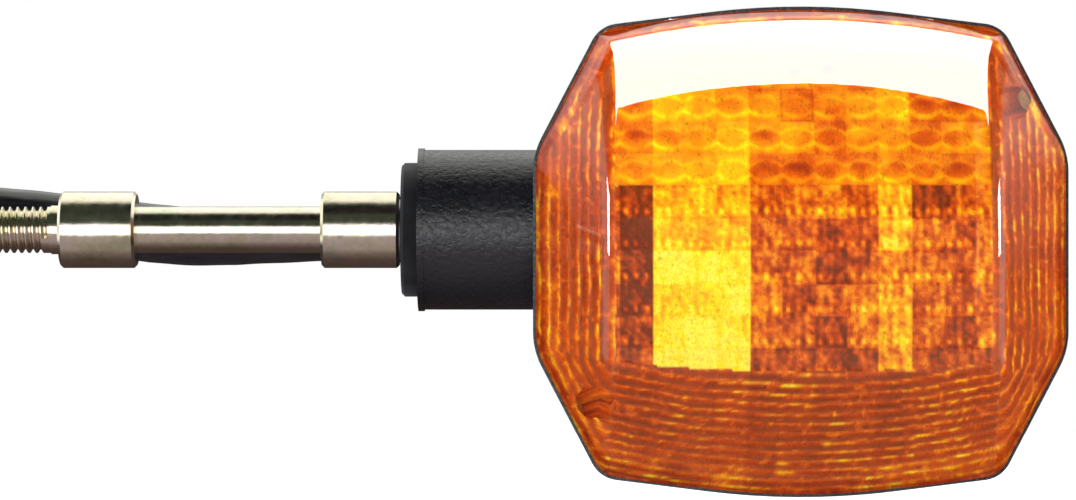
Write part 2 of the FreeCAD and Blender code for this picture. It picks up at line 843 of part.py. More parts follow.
def make_lens_screws():
    """Two cross-recessed pan-head screws, driven from the back into the lens bosses."""
    seat = size("screw_seat")
    top = seat + size("screw_head_height")
    slot_length = size("screw_slot_length")
    slot_width = size("screw_slot_width")
    slot_depth = size("screw_slot_depth")
    solids = []
    for x, z in lamp_boss_spots():
        shank = rod_along_y(x, z, seat - size("screw_length"), seat, size("screw_radius"))
        head = rod_along_y(x, z, seat, top, size("screw_head_radius"))
        rim = [edge for edge in head.Edges if edge.BoundBox.YMin > (seat + top) / 2]
        screw = shank.fuse(head.makeFillet(size("screw_head_round"), rim))
        for turn in (0, 90):
            corner = Vector(-slot_length / 2, top - slot_depth, -slot_width / 2)
            slot = Part.makeBox(slot_length, slot_depth, slot_width, corner)
            slot.rotate(Vector(0, 0, 0), Vector(0, 1, 0), turn)
            slot.translate(Vector(x, 0, z))
            screw = screw.cut(slot)
        solids.append(screw)
    part_feature("lens_screws", Part.makeCompound(solids))


# ---------------------------------------------------------------- socket and bulb


def bulb_place():
    """The bulb's axis runs along +X through the middle of the lamp."""
    return Placement(Vector(0, size("bulb_axis_y"), size("lamp_centre_z")), Rotation())


SOCKET_END = "dims.socket_start + dims.socket_length"
INSULATOR_START = "dims.socket_start + dims.socket_lip"
INSULATOR_END = f"{INSULATOR_START} + dims.insulator_length"
PLUNGER_START = f"{INSULATOR_END} + dims.spring_length"
PLUNGER_END = f"{PLUNGER_START} + dims.plunger_length"
BUTTON_END = f"{PLUNGER_END} + dims.button_length"
SOLDER_END = f"{BUTTON_END} + dims.solder_length"
BASE_START = f"{SOLDER_END} + dims.bead_step"
BASE_END = f"{BASE_START} + dims.bulb_base_length"
PIN_CENTRE = f"{BASE_START} + dims.bulb_pin_offset"
BEAD_END = f"{BASE_START} + dims.bead_length"


def make_socket_shell():
    """The plated shell, rolled in at its back, with two J-shaped bayonet slots."""
    bore = "dims.socket_radius - dims.socket_wall"
    rolled = "dims.socket_radius - dims.socket_roll"
    body = turned(
        "socket_shell",
        [
            ("dims.socket_start", rolled),
            ("dims.socket_start", "dims.socket_radius"),
            (SOCKET_END, "dims.socket_radius"),
            (SOCKET_END, bore),
            (INSULATOR_START, bore),
            (INSULATOR_START, rolled),
        ],
        bulb_place(),
    )
    doc.recompute()
    sketch = new_sketch(body, "bayonet_slot")
    clear = "(dims.bulb_pin_radius + dims.slot_gap)"
    swing = "dims.socket_radius * sin(dims.bulb_turn)"
    floor = f"{PIN_CENTRE} - dims.bulb_push - {clear}"
    tooth = f"{PIN_CENTRE} + dims.slot_tooth"
    notch = f"{PIN_CENTRE} + {clear}"
    mouth = f"{SOCKET_END} + dims.cut_margin"
    draw_polygon(
        sketch,
        [
            (floor, clear),
            (notch, clear),
            (notch, f"-{clear}"),
            (tooth, f"-{clear}"),
            (tooth, f"-{swing} + {clear}"),
            (mouth, f"-{swing} + {clear}"),
            (mouth, f"-{swing} - {clear}"),
            (floor, f"-{swing} - {clear}"),
        ],
    )
    cut = pocket(body, sketch, "dims.socket_radius + dims.cut_margin", reverse=True)
    doc.recompute()
    pair = body.newObject("PartDesign::PolarPattern", "bayonet_slots")
    pair.Originals = [cut]
    pair.Axis = (sketch, ["H_Axis"])
    pair.Angle = 360
    pair.Occurrences = 2
    body.Tip = pair


def coil_along_x(start, length, radius, wire, turns):
    """A round-wire coil whose helix runs from start along +X, on the bulb's axis."""
    helix = Part.makeHelix(length / turns, length, radius)
    section = Part.Wire(Part.makeCircle(wire, Vector(radius, 0, 0), Vector(0, 1, 0)))
    coil = Part.Wire(helix).makePipeShell([section], True, True)
    coil.rotate(Vector(0, 0, 0), Vector(0, 1, 0), 90)
    coil.translate(Vector(start, size("bulb_axis_y"), size("lamp_centre_z")))
    return coil


def make_socket_inside():
    """The insulating disc, the plunger, its spring and the brass contact button."""
    fit = "dims.socket_radius - dims.socket_wall - dims.running_gap"
    insulator_profile = tube_profile(INSULATOR_START, INSULATOR_END, "dims.bracket_hole_radius", fit)
    insulator = turned("socket_insulator", insulator_profile, bulb_place())
    plunger_profile = tube_profile(
        PLUNGER_START, PLUNGER_END, "dims.plunger_bore", "dims.plunger_radius", "dims.plunger_chamfer"
    )
    turned("contact_plunger", plunger_profile, bulb_place())
    tail = f"{PLUNGER_START} - dims.button_tail"
    turned(
        "contact_button",
        [
            (tail, "0"),
            (tail, "dims.button_neck"),
            (PLUNGER_END, "dims.button_neck"),
            (PLUNGER_END, "dims.button_radius"),
            (f"{BUTTON_END} - dims.button_edge", "dims.button_radius"),
            (BUTTON_END, "dims.button_tip"),
            (BUTTON_END, "0"),
        ],
        bulb_place(),
    )
    wire = size("spring_wire_radius")
    gap = size("spring_end_gap")
    start = float(insulator.evalExpression(INSULATOR_END)) + wire + gap
    length = size("spring_length") - 2 * wire - 2 * gap
    coil = coil_along_x(start, length, size("spring_radius"), wire, size("spring_turns"))
    part_feature("contact_spring", coil)


# The dome's middle point leans this far from the bulb's axis, in degrees.
DOME_LEAN = 50


def make_bulb_glass(place):
    """The blown envelope: a thin ball on a short neck that is cemented in the base."""
    body = new_body("bulb_glass", place)
    sketch = new_sketch(body, "bulb_glass_profile")
    waist_x = f"{BASE_END} - dims.glass_overlap"
    neck_size = "dims.bulb_base_radius - dims.bulb_base_wall - dims.glass_gap"
    start = float(sketch.evalExpression(waist_x))
    neck_radius = float(sketch.evalExpression(neck_size))
    ball_x = size("bulb_glass_end") - size("bulb_glass_radius")
    lean = math.radians(DOME_LEAN)
    skins = []
    for ball, neck in (
        (size("bulb_glass_radius"), neck_radius),
        (size("bulb_glass_radius") - size("glass_wall"), neck_radius - size("glass_wall")),
    ):
        meet = Vector(ball_x - math.sqrt(ball ** 2 - neck ** 2), neck, 0)
        waist = Vector(start, neck, 0)
        middle = Vector(ball_x + ball * math.cos(lean), ball * math.sin(lean), 0)
        tip = Vector(ball_x + ball, 0, 0)
        tube = sketch.addGeometry(Part.LineSegment(waist, meet))
        dome = sketch.addGeometry(Part.Arc(tip, middle, meet))
        sketch.addConstraint(Sketcher.Constraint("Coincident", tube, 2, dome, 2))
        sketch.addConstraint(Sketcher.Constraint("Horizontal", tube))
        skins.append((tube, dome, waist, tip))
    (outer_tube, outer_dome, outer_waist, outer_tip) = skins[0]
    (inner_tube, inner_dome, inner_waist, inner_tip) = skins[1]
    rim = sketch.addGeometry(Part.LineSegment(inner_waist, outer_waist))
    nose = sketch.addGeometry(Part.LineSegment(outer_tip, inner_tip))
    sketch.addConstraint(Sketcher.Constraint("Coincident", rim, 1, inner_tube, 1))
    sketch.addConstraint(Sketcher.Constraint("Coincident", rim, 2, outer_tube, 1))
    sketch.addConstraint(Sketcher.Constraint("Coincident", nose, 1, outer_dome, 1))
    sketch.addConstraint(Sketcher.Constraint("Coincident", nose, 2, inner_dome, 1))
    sketch.addConstraint(Sketcher.Constraint("Coincident", outer_dome, 3, inner_dome, 3))
    sketch.addConstraint(Sketcher.Constraint("PointOnObject", outer_dome, 3, -1))
    sketch.addConstraint(Sketcher.Constraint("PointOnObject", outer_dome, 1, -1))
    sketch.addConstraint(Sketcher.Constraint("PointOnObject", inner_dome, 1, -1))
    sketch.addConstraint(Sketcher.Constraint("Vertical", rim))
    radius = size("bulb_glass_radius")
    bind(sketch, Sketcher.Constraint("Radius", outer_dome, radius), "dims.bulb_glass_radius")
    bind(sketch, Sketcher.Constraint("DistanceX", -1, 1, outer_dome, 1, outer_tip.x), "dims.bulb_glass_end")
    bind(sketch, Sketcher.Constraint("DistanceX", -1, 1, rim, 2, start), waist_x)
    bind(sketch, Sketcher.Constraint("DistanceY", -1, 1, rim, 2, neck_radius), neck_size)
    bind(sketch, Sketcher.Constraint("DistanceY", rim, 1, rim, 2, size("glass_wall")), "dims.glass_wall")
    bind(sketch, Sketcher.Constraint("DistanceX", nose, 2, nose, 1, size("glass_wall")), "dims.glass_wall")
    revolve(body, sketch)


def make_bulb_base(place):
    """The bulb's brass cap, with two bayonet pins."""
    bore = "dims.bulb_base_radius - dims.bulb_base_wall"
    seat = "dims.bead_radius + dims.bead_gap"
    base = turned(
        "bulb_base",
        [
            (BASE_START, seat),
            (BASE_START, "dims.bulb_base_radius - dims.bulb_base_edge"),
            (f"{BASE_START} + dims.bulb_base_edge", "dims.bulb_base_radius"),
            (BASE_END, "dims.bulb_base_radius"),
            (BASE_END, bore),
            (BEAD_END, bore),
            (BEAD_END, seat),
        ],
        place,
    )
    doc.recompute()
    root = f"({bore} + dims.bulb_pin_root)"
    for name, flip in (("upper_pin", False), ("lower_pin", True)):
        sign = "-" if flip else ""
        sketch = new_sketch(base, name, "XY_Plane", f"{sign}{root}")
        draw_circle(sketch, PIN_CENTRE, "0", "dims.bulb_pin_radius")
        pad(base, sketch, f"dims.bulb_pin_reach - {root}", reverse=flip)
    doc.recompute()


def make_bulb():
    """The bayonet bulb: contact, insulating bead, base, glass and the filament's mount."""
    place = bulb_place()
    turned(
        "bulb_contact",
        [
            (BUTTON_END, "0"),
            (BUTTON_END, "dims.solder_tip"),
            (f"{BUTTON_END} + dims.solder_edge", "dims.solder_radius"),
            (SOLDER_END, "dims.solder_radius"),
            (SOLDER_END, "0"),
        ],
        place,
    )
    turned(
        "bulb_insulator",
        [
            (SOLDER_END, "0"),
            (SOLDER_END, "dims.bead_tip"),
            (BASE_START, "dims.bead_radius"),
            (BEAD_END, "dims.bead_radius"),
            (BEAD_END, "0"),
        ],
        place,
    )
    make_bulb_base(place)
    make_bulb_glass(place)
    foot = f"{BASE_END} - dims.mount_foot"
    tip = f"{BASE_END} + dims.mount_height"
    turned(
        "bulb_mount",
        [
            (foot, "0"),
            (foot, "dims.mount_foot_radius"),
            (f"{BASE_END} - dims.mount_skirt", "dims.mount_skirt_radius"),
            (tip, "dims.mount_tip_radius"),
            (tip, "0"),
        ],
        place,
    )


# A round wire or tube is lofted through this many circles along its path.
LOFT_SECTIONS = 60
# The largest part by which a lofted wire's volume may differ from a straight one's.
VOLUME_TOLERANCE = 0.02


def loft_along(curve, radius):
    """A round solid whose axis is the curve."""
    length = curve.length()
    circles = []
    for index in range(LOFT_SECTIONS + 1):
        place = curve.parameterAtDistance(length * index / LOFT_SECTIONS)
        circle = Part.makeCircle(radius, curve.value(place), curve.tangent(place)[0])
        circles.append(Part.Wire(circle))
    solid = Part.makeLoft(circles, True, False)
    straight = math.pi * radius ** 2 * length
    if abs(solid.Volume - straight) > VOLUME_TOLERANCE * straight:
        raise RuntimeError("a wire's loft has folded over itself")
    return solid


def wire_along(points, radius, bore=0.0):
    """A round wire, or a tube with a bore, along a smooth curve through the points."""
    curve = Part.BSplineCurve()
    curve.interpolate([Vector(*point) for point in points])
    solid = loft_along(curve, radius)
    if bore > 0:
        solid = solid.cut(loft_along(curve, bore))
    return solid


def make_filament():
    """Two support wires with a coiled filament strung between them."""
    profile = doc.getObject("bulb_base_profile")
    start = float(profile.evalExpression(f"{BASE_END} + dims.mount_height")) + size("running_gap")
    tip = start + size("support_length")
    middle = (start + tip) / 2
    y = size("bulb_axis_y")
    z = size("lamp_centre_z")
    supports = []
    for side in (-1, 1):
        points = [
            (start, y, z + side * size("support_foot")),
            (middle, y, z + side * size("support_knee")),
            (tip, y, z + side * size("support_tip")),
        ]
        supports.append(wire_along(points, size("support_radius")))
    part_feature("bulb_supports", Part.makeCompound(supports))
    length = size("filament_length")
    radius = size("filament_radius")
    helix = Part.makeHelix(size("filament_pitch"), length, radius)
    section = Part.Wire(Part.makeCircle(size("filament_wire"), Vector(radius, 0, 0), Vector(0, 1, 0)))
    coil = Part.Wire(helix).makePipeShell([section], True, True)
    coil.translate(Vector(tip + size("filament_gap"), y, z - length / 2))
    part_feature("bulb_filament", coil)


def make_bracket():
    """The steel strap that carries the socket, bent back to a foot behind the dish."""
    thick = size("bracket_thickness")
    width = size("bracket_width")
    margin = size("cut_margin")
    plate_end = size("socket_start") - size("lug_gap") / 2
    plate_start = plate_end - thick
    y = size("bulb_axis_y")
    z = size("lamp_centre_z")
    foot_y = size("bracket_foot_y")
    foot_z = size("bracket_foot_z")
    front_y = size("strap_front_y")
    disc = rod_along_x(plate_start, plate_end, size("socket_radius") - size("bracket_disc_step"), y, z)
    strap_corner = Vector(plate_start, front_y, foot_z - width / 2)
    strap = Part.makeBox(thick, foot_y + thick - front_y, width, strap_corner)
    riser = Part.makeBox(thick, width, z - foot_z, Vector(plate_start, front_y, foot_z))
    foot_length = size("bracket_foot_x") + width / 2 - plate_start
    foot_corner = Vector(plate_start, foot_y, foot_z - width / 2)
    foot = Part.makeBox(foot_length, thick, width, foot_corner)
    shape = disc.fuse([strap, riser, foot])
    wire_hole = rod_along_x(plate_start - margin, plate_end + margin, size("bracket_hole_radius"), y, z)
    screw_hole = rod_along_y(size("bracket_foot_x"), foot_z, foot_y - margin, foot_y + thick + margin,
                             size("foot_hole_radius"))
    part_feature("socket_bracket", shape.cut(wire_hole).cut(screw_hole).removeSplitter())


def make_bracket_fittings():
    """The screw through the bracket's foot, and the lug that earths the bracket."""
    x = size("bracket_foot_x")
    z = size("bracket_foot_z")
    seat = size("bracket_foot_y")
    shank = rod_along_y(x, z, seat, seat + size("foot_screw_length"), size("foot_screw_radius"))
    head = rod_along_y(x, z, seat - size("foot_screw_head_height"), seat, size("foot_screw_head_radius"))
    part_feature("bracket_screw", shank.fuse(head).removeSplitter())
    lug_x = size("socket_start") - size("bracket_thickness") - size("lug_gap") - size("lug_thickness")
    lug_corner = Vector(lug_x, size("lug_front_y"), size("lug_bottom_z"))
    lug = Part.makeBox(size("lug_thickness"), size("lug_length"), size("lug_width"), lug_corner)
    part_feature("ground_lug", lug)


# ---------------------------------------------------------------- wiring

# The live wire's way from the contact to the damper, measured from the bulb's axis
# while it leaves the socket and from the stem's axis from there on.
LIVE_FROM_SOCKET = ((86.6, 0.0, 0.0), (85.2, 0.1, 0.2), (83.4, 0.7, 1.2), (82.3, 1.8, 3.2))
LIVE_IN_HEAD = (
    (82.0, -9.8, 2.6),
    (81.9, -7.0, 6.4),
    (81.6, -2.6, 9.2),
    (80.0, 2.6, 9.0),
    (77.0, 6.0, 6.9),
    (74.2, 8.0, 4.3),
    (72.0, 8.65, 2.2),
)
# The earth wire's way from its lug to the damper.
GROUND_IN_HEAD = (
    (82.0, -2.9, -9.9),
    (82.0, -2.0, -9.9),
    (81.8, -0.6, -9.8),
    (81.2, 1.0, -9.4),
    (79.6, 3.2, -8.7),
    (77.0, 6.0, -6.9),
    (74.2, 8.0, -4.3),
    (72.0, 8.65, -2.2),
)
THROUGH_DAMPER = (70.4, 69.0, 66.0, 62.0, 58.0, 56.4)
# From the damper's face to the sleeve: place along the stem, and the part of the
# distance between the passage and the sleeve's axis that the wire has moved.
DAMPER_TO_SLEEVE = ((54.4, 0.11), (51.0, 0.65), (47.5, 0.95), (44.0, 1.0))
# The sleeve's axis: place along the stem, and its height. It hangs under the shaft
# between the collars and rises behind the stud.
SLEEVE_SAG = ((36.0, -0.9), (21.0, -1.05), (8.0, 0.1), (-10.0, 2.1), (-28.0, 3.0))
SLEEVE_INNER_RISE = -0.5
# Places along the lead's free end, and the part of the full spread reached there.
LEAD_FAN = ((-47.0, 0.33), (-52.0, 0.94), (-55.5, 1.0), (-60.0, 1.0))


def wire_route(inside, side):
    """One wire's points from the socket to its bullet; side is 1 above and -1 below."""
    passage = size("wire_passage_y")
    sleeve_y = size("sleeve_y")
    z = side * size("wire_spacing")
    rise = size("lead_rise")
    spread = size("lead_spread")
    route = list(inside)
    route += [(x, passage, z) for x in THROUGH_DAMPER]
    route += [(x, passage + part * (sleeve_y - passage), z) for x, part in DAMPER_TO_SLEEVE]
    route += [(x, sleeve_y, z + height) for x, height in SLEEVE_SAG]
    route.append((size("sleeve_outer_end"), sleeve_y, z + rise))
    route += [(x, sleeve_y, z * (1 + (spread - 1) * part) + rise) for x, part in LEAD_FAN]
    route.append((size("lead_end"), sleeve_y, z * spread + rise))
    return route


def make_wiring():
    """Two insulated wires from the socket, through the damper, into one sleeve."""
    bulb_y = size("bulb_axis_y")
    lamp_z = size("lamp_centre_z")
    live_inside = [(x, bulb_y + y, lamp_z + z) for x, y, z in LIVE_FROM_SOCKET] + list(LIVE_IN_HEAD)
    for name, inside, side in (("live_wire", live_inside, 1), ("ground_wire", GROUND_IN_HEAD, -1)):
        part_feature(name, wire_along(wire_route(inside, side), size("wire_radius")))
    sleeve_y = size("sleeve_y")
    sleeve_path = [(size("sleeve_inner_end"), sleeve_y, SLEEVE_INNER_RISE)]
    sleeve_path += [(x, sleeve_y, height) for x, height in SLEEVE_SAG]
    sleeve_path.append((size("sleeve_outer_end"), sleeve_y, size("lead_rise")))
    sleeve_radius = size("sleeve_radius")
    sleeve = wire_along(sleeve_path, sleeve_radius, sleeve_radius - size("sleeve_wall"))
    part_feature("harness_sleeve", sleeve)


def make_bullets():
    """A crimped brass bullet and a rubber boot on the end of each wire."""
    turn_round = Rotation(Vector(0, 0, 1), 180)
    for name, side in (("live", 1), ("ground", -1)):
        z = side * size("wire_spacing") * size("lead_spread") + size("lead_rise")
        place = Placement(Vector(size("lead_end"), size("sleeve_y"), z), turn_round)
        turned(
            f"{name}_bullet",
            [
                ("dims.bullet_gap", "0"),
                ("dims.bullet_gap", "dims.bullet_crimp_radius"),
                ("dims.bullet_crimp_end", "dims.bullet_crimp_radius"),
                ("dims.bullet_shoulder", "dims.bullet_radius"),
                ("dims.bullet_length - dims.bullet_nose", "dims.bullet_radius"),
                ("dims.bullet_length", "dims.bullet_tip_radius"),
                ("dims.bullet_length", "0"),
            ],
            place,
        )
        bore = "dims.wire_radius + dims.boot_clearance"
        boot = tube_profile("dims.boot_start", "dims.boot_end", bore, "dims.boot_radius", "dims.boot_chamfer")
        turned(f"{name}_boot", boot, place)


make_stem_rod()
make_collars()
make_rubber_damper()
make_damper_fittings()
make_stem_nut()
make_housing()
make_lens()
make_gasket()
make_reflector()
make_lens_screws()
make_socket_shell()
make_socket_inside()
make_bulb()
make_filament()
make_bracket()
make_bracket_fittings()
make_wiring()
make_bullets()

doc.recompute()
for item in doc.Objects:
    if "Invalid" in item.State or "Error" in item.State:
        raise RuntimeError(f"{item.Name} failed: {item.State}")
for item in sub_parts:
    if item.Shape.isNull() or not item.Shape.isValid():
        raise RuntimeError(f"{item.Label} has no valid shape")

os.makedirs("parts", exist_ok=True)
for item in sub_parts:
    item.Shape.exportStep(f"parts/{item.Label}.step")
print(len(sub_parts), "sub-parts written")
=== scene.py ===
import math

import bmesh
import bpy
import numpy as np
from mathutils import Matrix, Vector


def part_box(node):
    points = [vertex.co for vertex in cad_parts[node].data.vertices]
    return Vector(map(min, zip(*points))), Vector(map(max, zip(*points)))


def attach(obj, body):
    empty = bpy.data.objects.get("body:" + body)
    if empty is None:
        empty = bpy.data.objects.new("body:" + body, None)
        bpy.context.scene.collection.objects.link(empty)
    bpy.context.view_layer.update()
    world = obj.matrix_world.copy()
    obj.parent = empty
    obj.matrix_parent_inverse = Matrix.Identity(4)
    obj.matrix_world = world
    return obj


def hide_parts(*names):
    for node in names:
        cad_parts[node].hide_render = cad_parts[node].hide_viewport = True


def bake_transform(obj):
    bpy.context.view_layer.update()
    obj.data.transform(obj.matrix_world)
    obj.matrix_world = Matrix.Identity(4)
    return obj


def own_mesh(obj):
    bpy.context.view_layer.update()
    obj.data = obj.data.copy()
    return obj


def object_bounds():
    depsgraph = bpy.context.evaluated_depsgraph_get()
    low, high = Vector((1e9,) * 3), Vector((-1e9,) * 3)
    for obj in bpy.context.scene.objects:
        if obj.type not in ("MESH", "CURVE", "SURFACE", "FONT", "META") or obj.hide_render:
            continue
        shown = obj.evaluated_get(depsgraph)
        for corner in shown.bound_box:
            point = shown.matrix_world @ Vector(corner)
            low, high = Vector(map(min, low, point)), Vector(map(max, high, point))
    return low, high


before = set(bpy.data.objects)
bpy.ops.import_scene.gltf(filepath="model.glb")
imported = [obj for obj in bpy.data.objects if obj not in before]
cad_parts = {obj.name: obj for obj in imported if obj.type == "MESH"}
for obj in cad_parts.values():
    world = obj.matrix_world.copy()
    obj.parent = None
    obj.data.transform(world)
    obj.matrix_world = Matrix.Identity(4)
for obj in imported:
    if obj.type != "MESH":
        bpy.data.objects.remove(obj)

# Lengths are written in millimetres and turned into metres with MM.
MM = 0.001
cad_low, cad_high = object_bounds()


# ---------------------------------------------------------------- material helpers


class Network:
    """Shader nodes in one tree, made and wired by short calls."""

    def __init__(self, tree):
        self.nodes = tree.nodes
        self.links = tree.links

    def feed(self, socket, value):
        """Gives a socket another node's output, a colour or a plain value."""
        if hasattr(value, "is_output"):
            self.links.new(value, socket)
        elif isinstance(value, tuple) and len(value) == 3:
            socket.default_value = (*value, 1.0)
        else:
            socket.default_value = value

    def math(self, operation, first, second=0.0):
        node = self.nodes.new("ShaderNodeMath")
        node.operation = operation
        for socket, value in zip(node.inputs, (first, second)):
            self.feed(socket, value)
        return node.outputs["Value"]

    def span(self, value, low, high):
        """The value's place between low and high, from 0 to 1."""
        node = self.nodes.new("ShaderNodeMapRange")
        node.inputs["From Min"].default_value = low
        node.inputs["From Max"].default_value = high
        self.links.new(value, node.inputs["Value"])
        return node.outputs["Result"]

    def ramp(self, factor, stops):
        """A colour or grey at each stop, and even blends between them."""
        node = self.nodes.new("ShaderNodeValToRGB")
        elements = node.color_ramp.elements
        while len(elements) < len(stops):
            elements.new(0.5)
        for element, (place, colour) in zip(elements, stops):
            element.position = place
            levels = (colour,) * 3 if isinstance(colour, (int, float)) else colour
            element.color = (*levels, 1.0)
        self.links.new(factor, node.inputs["Fac"])
        return node.outputs["Color"]

    def mix(self, factor, first, second, blend="MIX"):
        node = self.nodes.new("ShaderNodeMix")
        node.data_type = "RGBA"
        node.blend_type = blend
        factor_socket, first_socket, second_socket = (node.inputs[place] for place in (0, 6, 7))
        self.feed(factor_socket, factor)
        self.feed(first_socket, first)
        self.feed(second_socket, second)
        return node.outputs[2]


class Surface(Network):
    """A Principled material whose inputs are driven by small procedural networks."""

    def __init__(self, name, **values):
        self.material = bpy.data.materials.new(name)
        self.material.use_nodes = True
        super().__init__(self.material.node_tree)
        self.shader = self.nodes["Principled BSDF"]
        self.coords = self.nodes.new("ShaderNodeTexCoord").outputs["Object"]
        for key, value in values.items():
            self.set(key.replace("_", " ").title().replace("Ior", "IOR"), value)

    def set(self, socket, value):
        self.feed(self.shader.inputs[socket], value)

    def noise(self, per_mm, detail=3.0, rough=0.5, distort=0.0):
        """Cloudy noise on the object; per_mm is how many lumps fit a millimetre, per axis."""
        mapping = self.nodes.new("ShaderNodeMapping")
        self.links.new(self.coords, mapping.inputs["Vector"])
        mapping.inputs["Scale"].default_value = [value / MM for value in per_mm]
        node = self.nodes.new("ShaderNodeTexNoise")
        self.links.new(mapping.outputs["Vector"], node.inputs["Vector"])
        node.inputs["Scale"].default_value = 1.0
        node.inputs["Detail"].default_value = detail
        node.inputs["Roughness"].default_value = rough
        node.inputs["Distortion"].default_value = distort
        return node.outputs["Fac"]

    def bump(self, height, strength, depth_mm):
        """Raises the surface by a pattern, on top of any bump that it already has."""
        node = self.nodes.new("ShaderNodeBump")
        node.inputs["Strength"].default_value = strength
        node.inputs["Distance"].default_value = depth_mm * MM
        self.links.new(height, node.inputs["Height"])
        previous = self.shader.inputs["Normal"].links
        if previous:
            self.links.new(previous[0].from_socket, node.inputs["Normal"])
        self.links.new(node.outputs["Normal"], self.shader.inputs["Normal"])


# ---------------------------------------------------------------- materials


def yellow_zinc():
    """Turned steel under iridescent yellow passivate: cream, olive, pink and green clouds."""
    s = Surface("yellow_zinc", metallic=1.0)
    clouds = s.noise((0.09, 0.16, 0.16), detail=4.0, rough=0.6, distort=0.6)
    tint = s.ramp(clouds, [
        (0.30, (0.60, 0.60, 0.40)), (0.45, (0.82, 0.77, 0.58)), (0.56, (0.88, 0.77, 0.68)),
        (0.68, (0.68, 0.74, 0.54)), (0.80, (0.88, 0.85, 0.74)),
    ])
    mottling = s.noise((0.7, 0.7, 0.7), detail=5.0, rough=0.7)
    s.set("Base Color", s.mix(0.35, tint, s.ramp(mottling, [(0.35, 0.55), (0.65, 1.0)]), "MULTIPLY"))
    s.set("Roughness", s.ramp(mottling, [(0.3, 0.12), (0.7, 0.26)]))
    s.set("Anisotropic", 0.4)
    turning = s.noise((5.0, 0.05, 0.05), detail=3.0, rough=0.7)
    s.bump(turning, 0.35, 0.02)
    s.bump(mottling, 0.4, 0.06)
    return s.material


def bright_zinc(name="bright_zinc", colour=(0.66, 0.67, 0.70)):
    """Plain zinc plate with faint grey spangle."""
    s = Surface(name, metallic=1.0)
    spangle = s.noise((0.5, 0.5, 0.5), detail=5.0, rough=0.7)
    dim = tuple(value * 0.7 for value in colour)
    s.set("Base Color", s.ramp(spangle, [(0.35, dim), (0.65, colour)]))
    s.set("Roughness", s.ramp(spangle, [(0.3, 0.25), (0.7, 0.4)]))
    s.bump(spangle, 0.2, 0.02)
    return s.material


def black_plastic():
    """Blue-black moulding with a coarse leathery grain that sparkles where light strikes it."""
    s = Surface("black_plastic", specular_ior_level=0.75)
    grain = s.noise((0.95, 1.3, 1.3), detail=3.5, rough=0.6, distort=0.5)
    patches = s.noise((0.06, 0.06, 0.06), detail=3.0)
    s.set("Base Color", s.ramp(patches, [(0.3, (0.004, 0.004, 0.008)), (0.7, (0.008, 0.008, 0.014))]))
    s.set("Roughness", s.ramp(grain, [(0.35, 0.20), (0.65, 0.38)]))
    s.bump(grain, 0.8, 0.20)
    s.bump(s.noise((4.0, 4.0, 4.0), detail=2.0), 0.25, 0.04)
    return s.material


def soft_rubber():
    s = Surface("soft_rubber", specular_ior_level=0.3)
    dust = s.noise((0.25, 0.25, 0.25), detail=6.0, rough=0.7)
    s.set("Base Color", s.ramp(dust, [(0.35, (0.006, 0.006, 0.010)), (0.7, (0.016, 0.017, 0.024))]))
    s.set("Roughness", s.ramp(dust, [(0.3, 0.5), (0.7, 0.7)]))
    s.set("Sheen Weight", 0.08)
    s.bump(s.noise((2.0, 2.0, 2.0), detail=3.0), 0.4, 0.05)
    return s.material


def glossy_vinyl():
    """The harness sleeve: shiny black tube with shallow waves and scuffs."""
    s = Surface("glossy_vinyl", specular_ior_level=0.6)
    scuffs = s.noise((0.08, 1.2, 1.2), detail=5.0, rough=0.7)
    s.set("Base Color", s.ramp(scuffs, [(0.4, (0.008, 0.008, 0.010)), (0.75, (0.020, 0.020, 0.024))]))
    s.set("Roughness", s.ramp(scuffs, [(0.4, 0.12), (0.75, 0.30)]))
    s.bump(s.noise((0.12, 0.3, 0.3), detail=2.0), 0.4, 0.4)
    return s.material


def wire_insulation(name, colour):
    s = Surface(name, specular_ior_level=0.5)
    print_wear = s.noise((0.4, 1.5, 1.5), detail=4.0)
    dim = tuple(value * 0.65 for value in colour)
    s.set("Base Color", s.ramp(print_wear, [(0.35, dim), (0.6, colour)]))
    s.set("Roughness", s.ramp(print_wear, [(0.3, 0.28), (0.7, 0.45)]))
    s.bump(print_wear, 0.2, 0.03)
    return s.material


def brass(name="brass", colour=(0.80, 0.58, 0.26)):
    s = Surface(name, metallic=1.0)
    tarnish = s.noise((0.6, 0.6, 0.6), detail=5.0, rough=0.65)
    dim = tuple(value * 0.6 for value in colour)
    s.set("Base Color", s.ramp(tarnish, [(0.35, dim), (0.6, colour)]))
    s.set("Roughness", s.ramp(tarnish, [(0.3, 0.22), (0.7, 0.42)]))
    s.bump(tarnish, 0.2, 0.02)
    return s.material


def metallised_dish():
    """Vacuum-metallised plastic: bright, with a slightly soft, rippled mirror."""
    s = Surface("metallised_dish", metallic=1.0)
    haze = s.noise((0.15, 0.15, 0.15), detail=4.0)
    s.set("Base Color", s.ramp(haze, [(0.3, (0.80, 0.80, 0.79)), (0.7, (0.93, 0.93, 0.92))]))
    s.set("Roughness", s.ramp(haze, [(0.3, 0.10), (0.7, 0.22)]))
    s.bump(haze, 0.3, 0.3)
    return s.material


def fibre_board():
    s = Surface("fibre_board", roughness=0.8)
    fibres = s.noise((1.5, 0.4, 3.0), detail=5.0, rough=0.7)
    s.set("Base Color", s.ramp(fibres, [(0.3, (0.16, 0.06, 0.03)), (0.7, (0.36, 0.17, 0.09))]))
    s.bump(fibres, 0.4, 0.05)
    return s.material


def dark_bead():
    s = Surface("dark_bead", roughness=0.15)
    swirl = s.noise((0.8, 0.8, 0.8), detail=3.0, distort=1.0)
    s.set("Base Color", s.ramp(swirl, [(0.3, (0.010, 0.006, 0.012)), (0.7, (0.05, 0.03, 0.05))]))
    s.bump(swirl, 0.2, 0.05)
    return s.material


def tungsten():
    s = Surface("tungsten", metallic=1.0)
    drawn = s.noise((4.0, 4.0, 4.0), detail=3.0)
    s.set("Base Color", s.ramp(drawn, [(0.3, (0.25, 0.25, 0.27)), (0.7, (0.45, 0.45, 0.48))]))
    s.set("Roughness", 0.4)
    return s.material


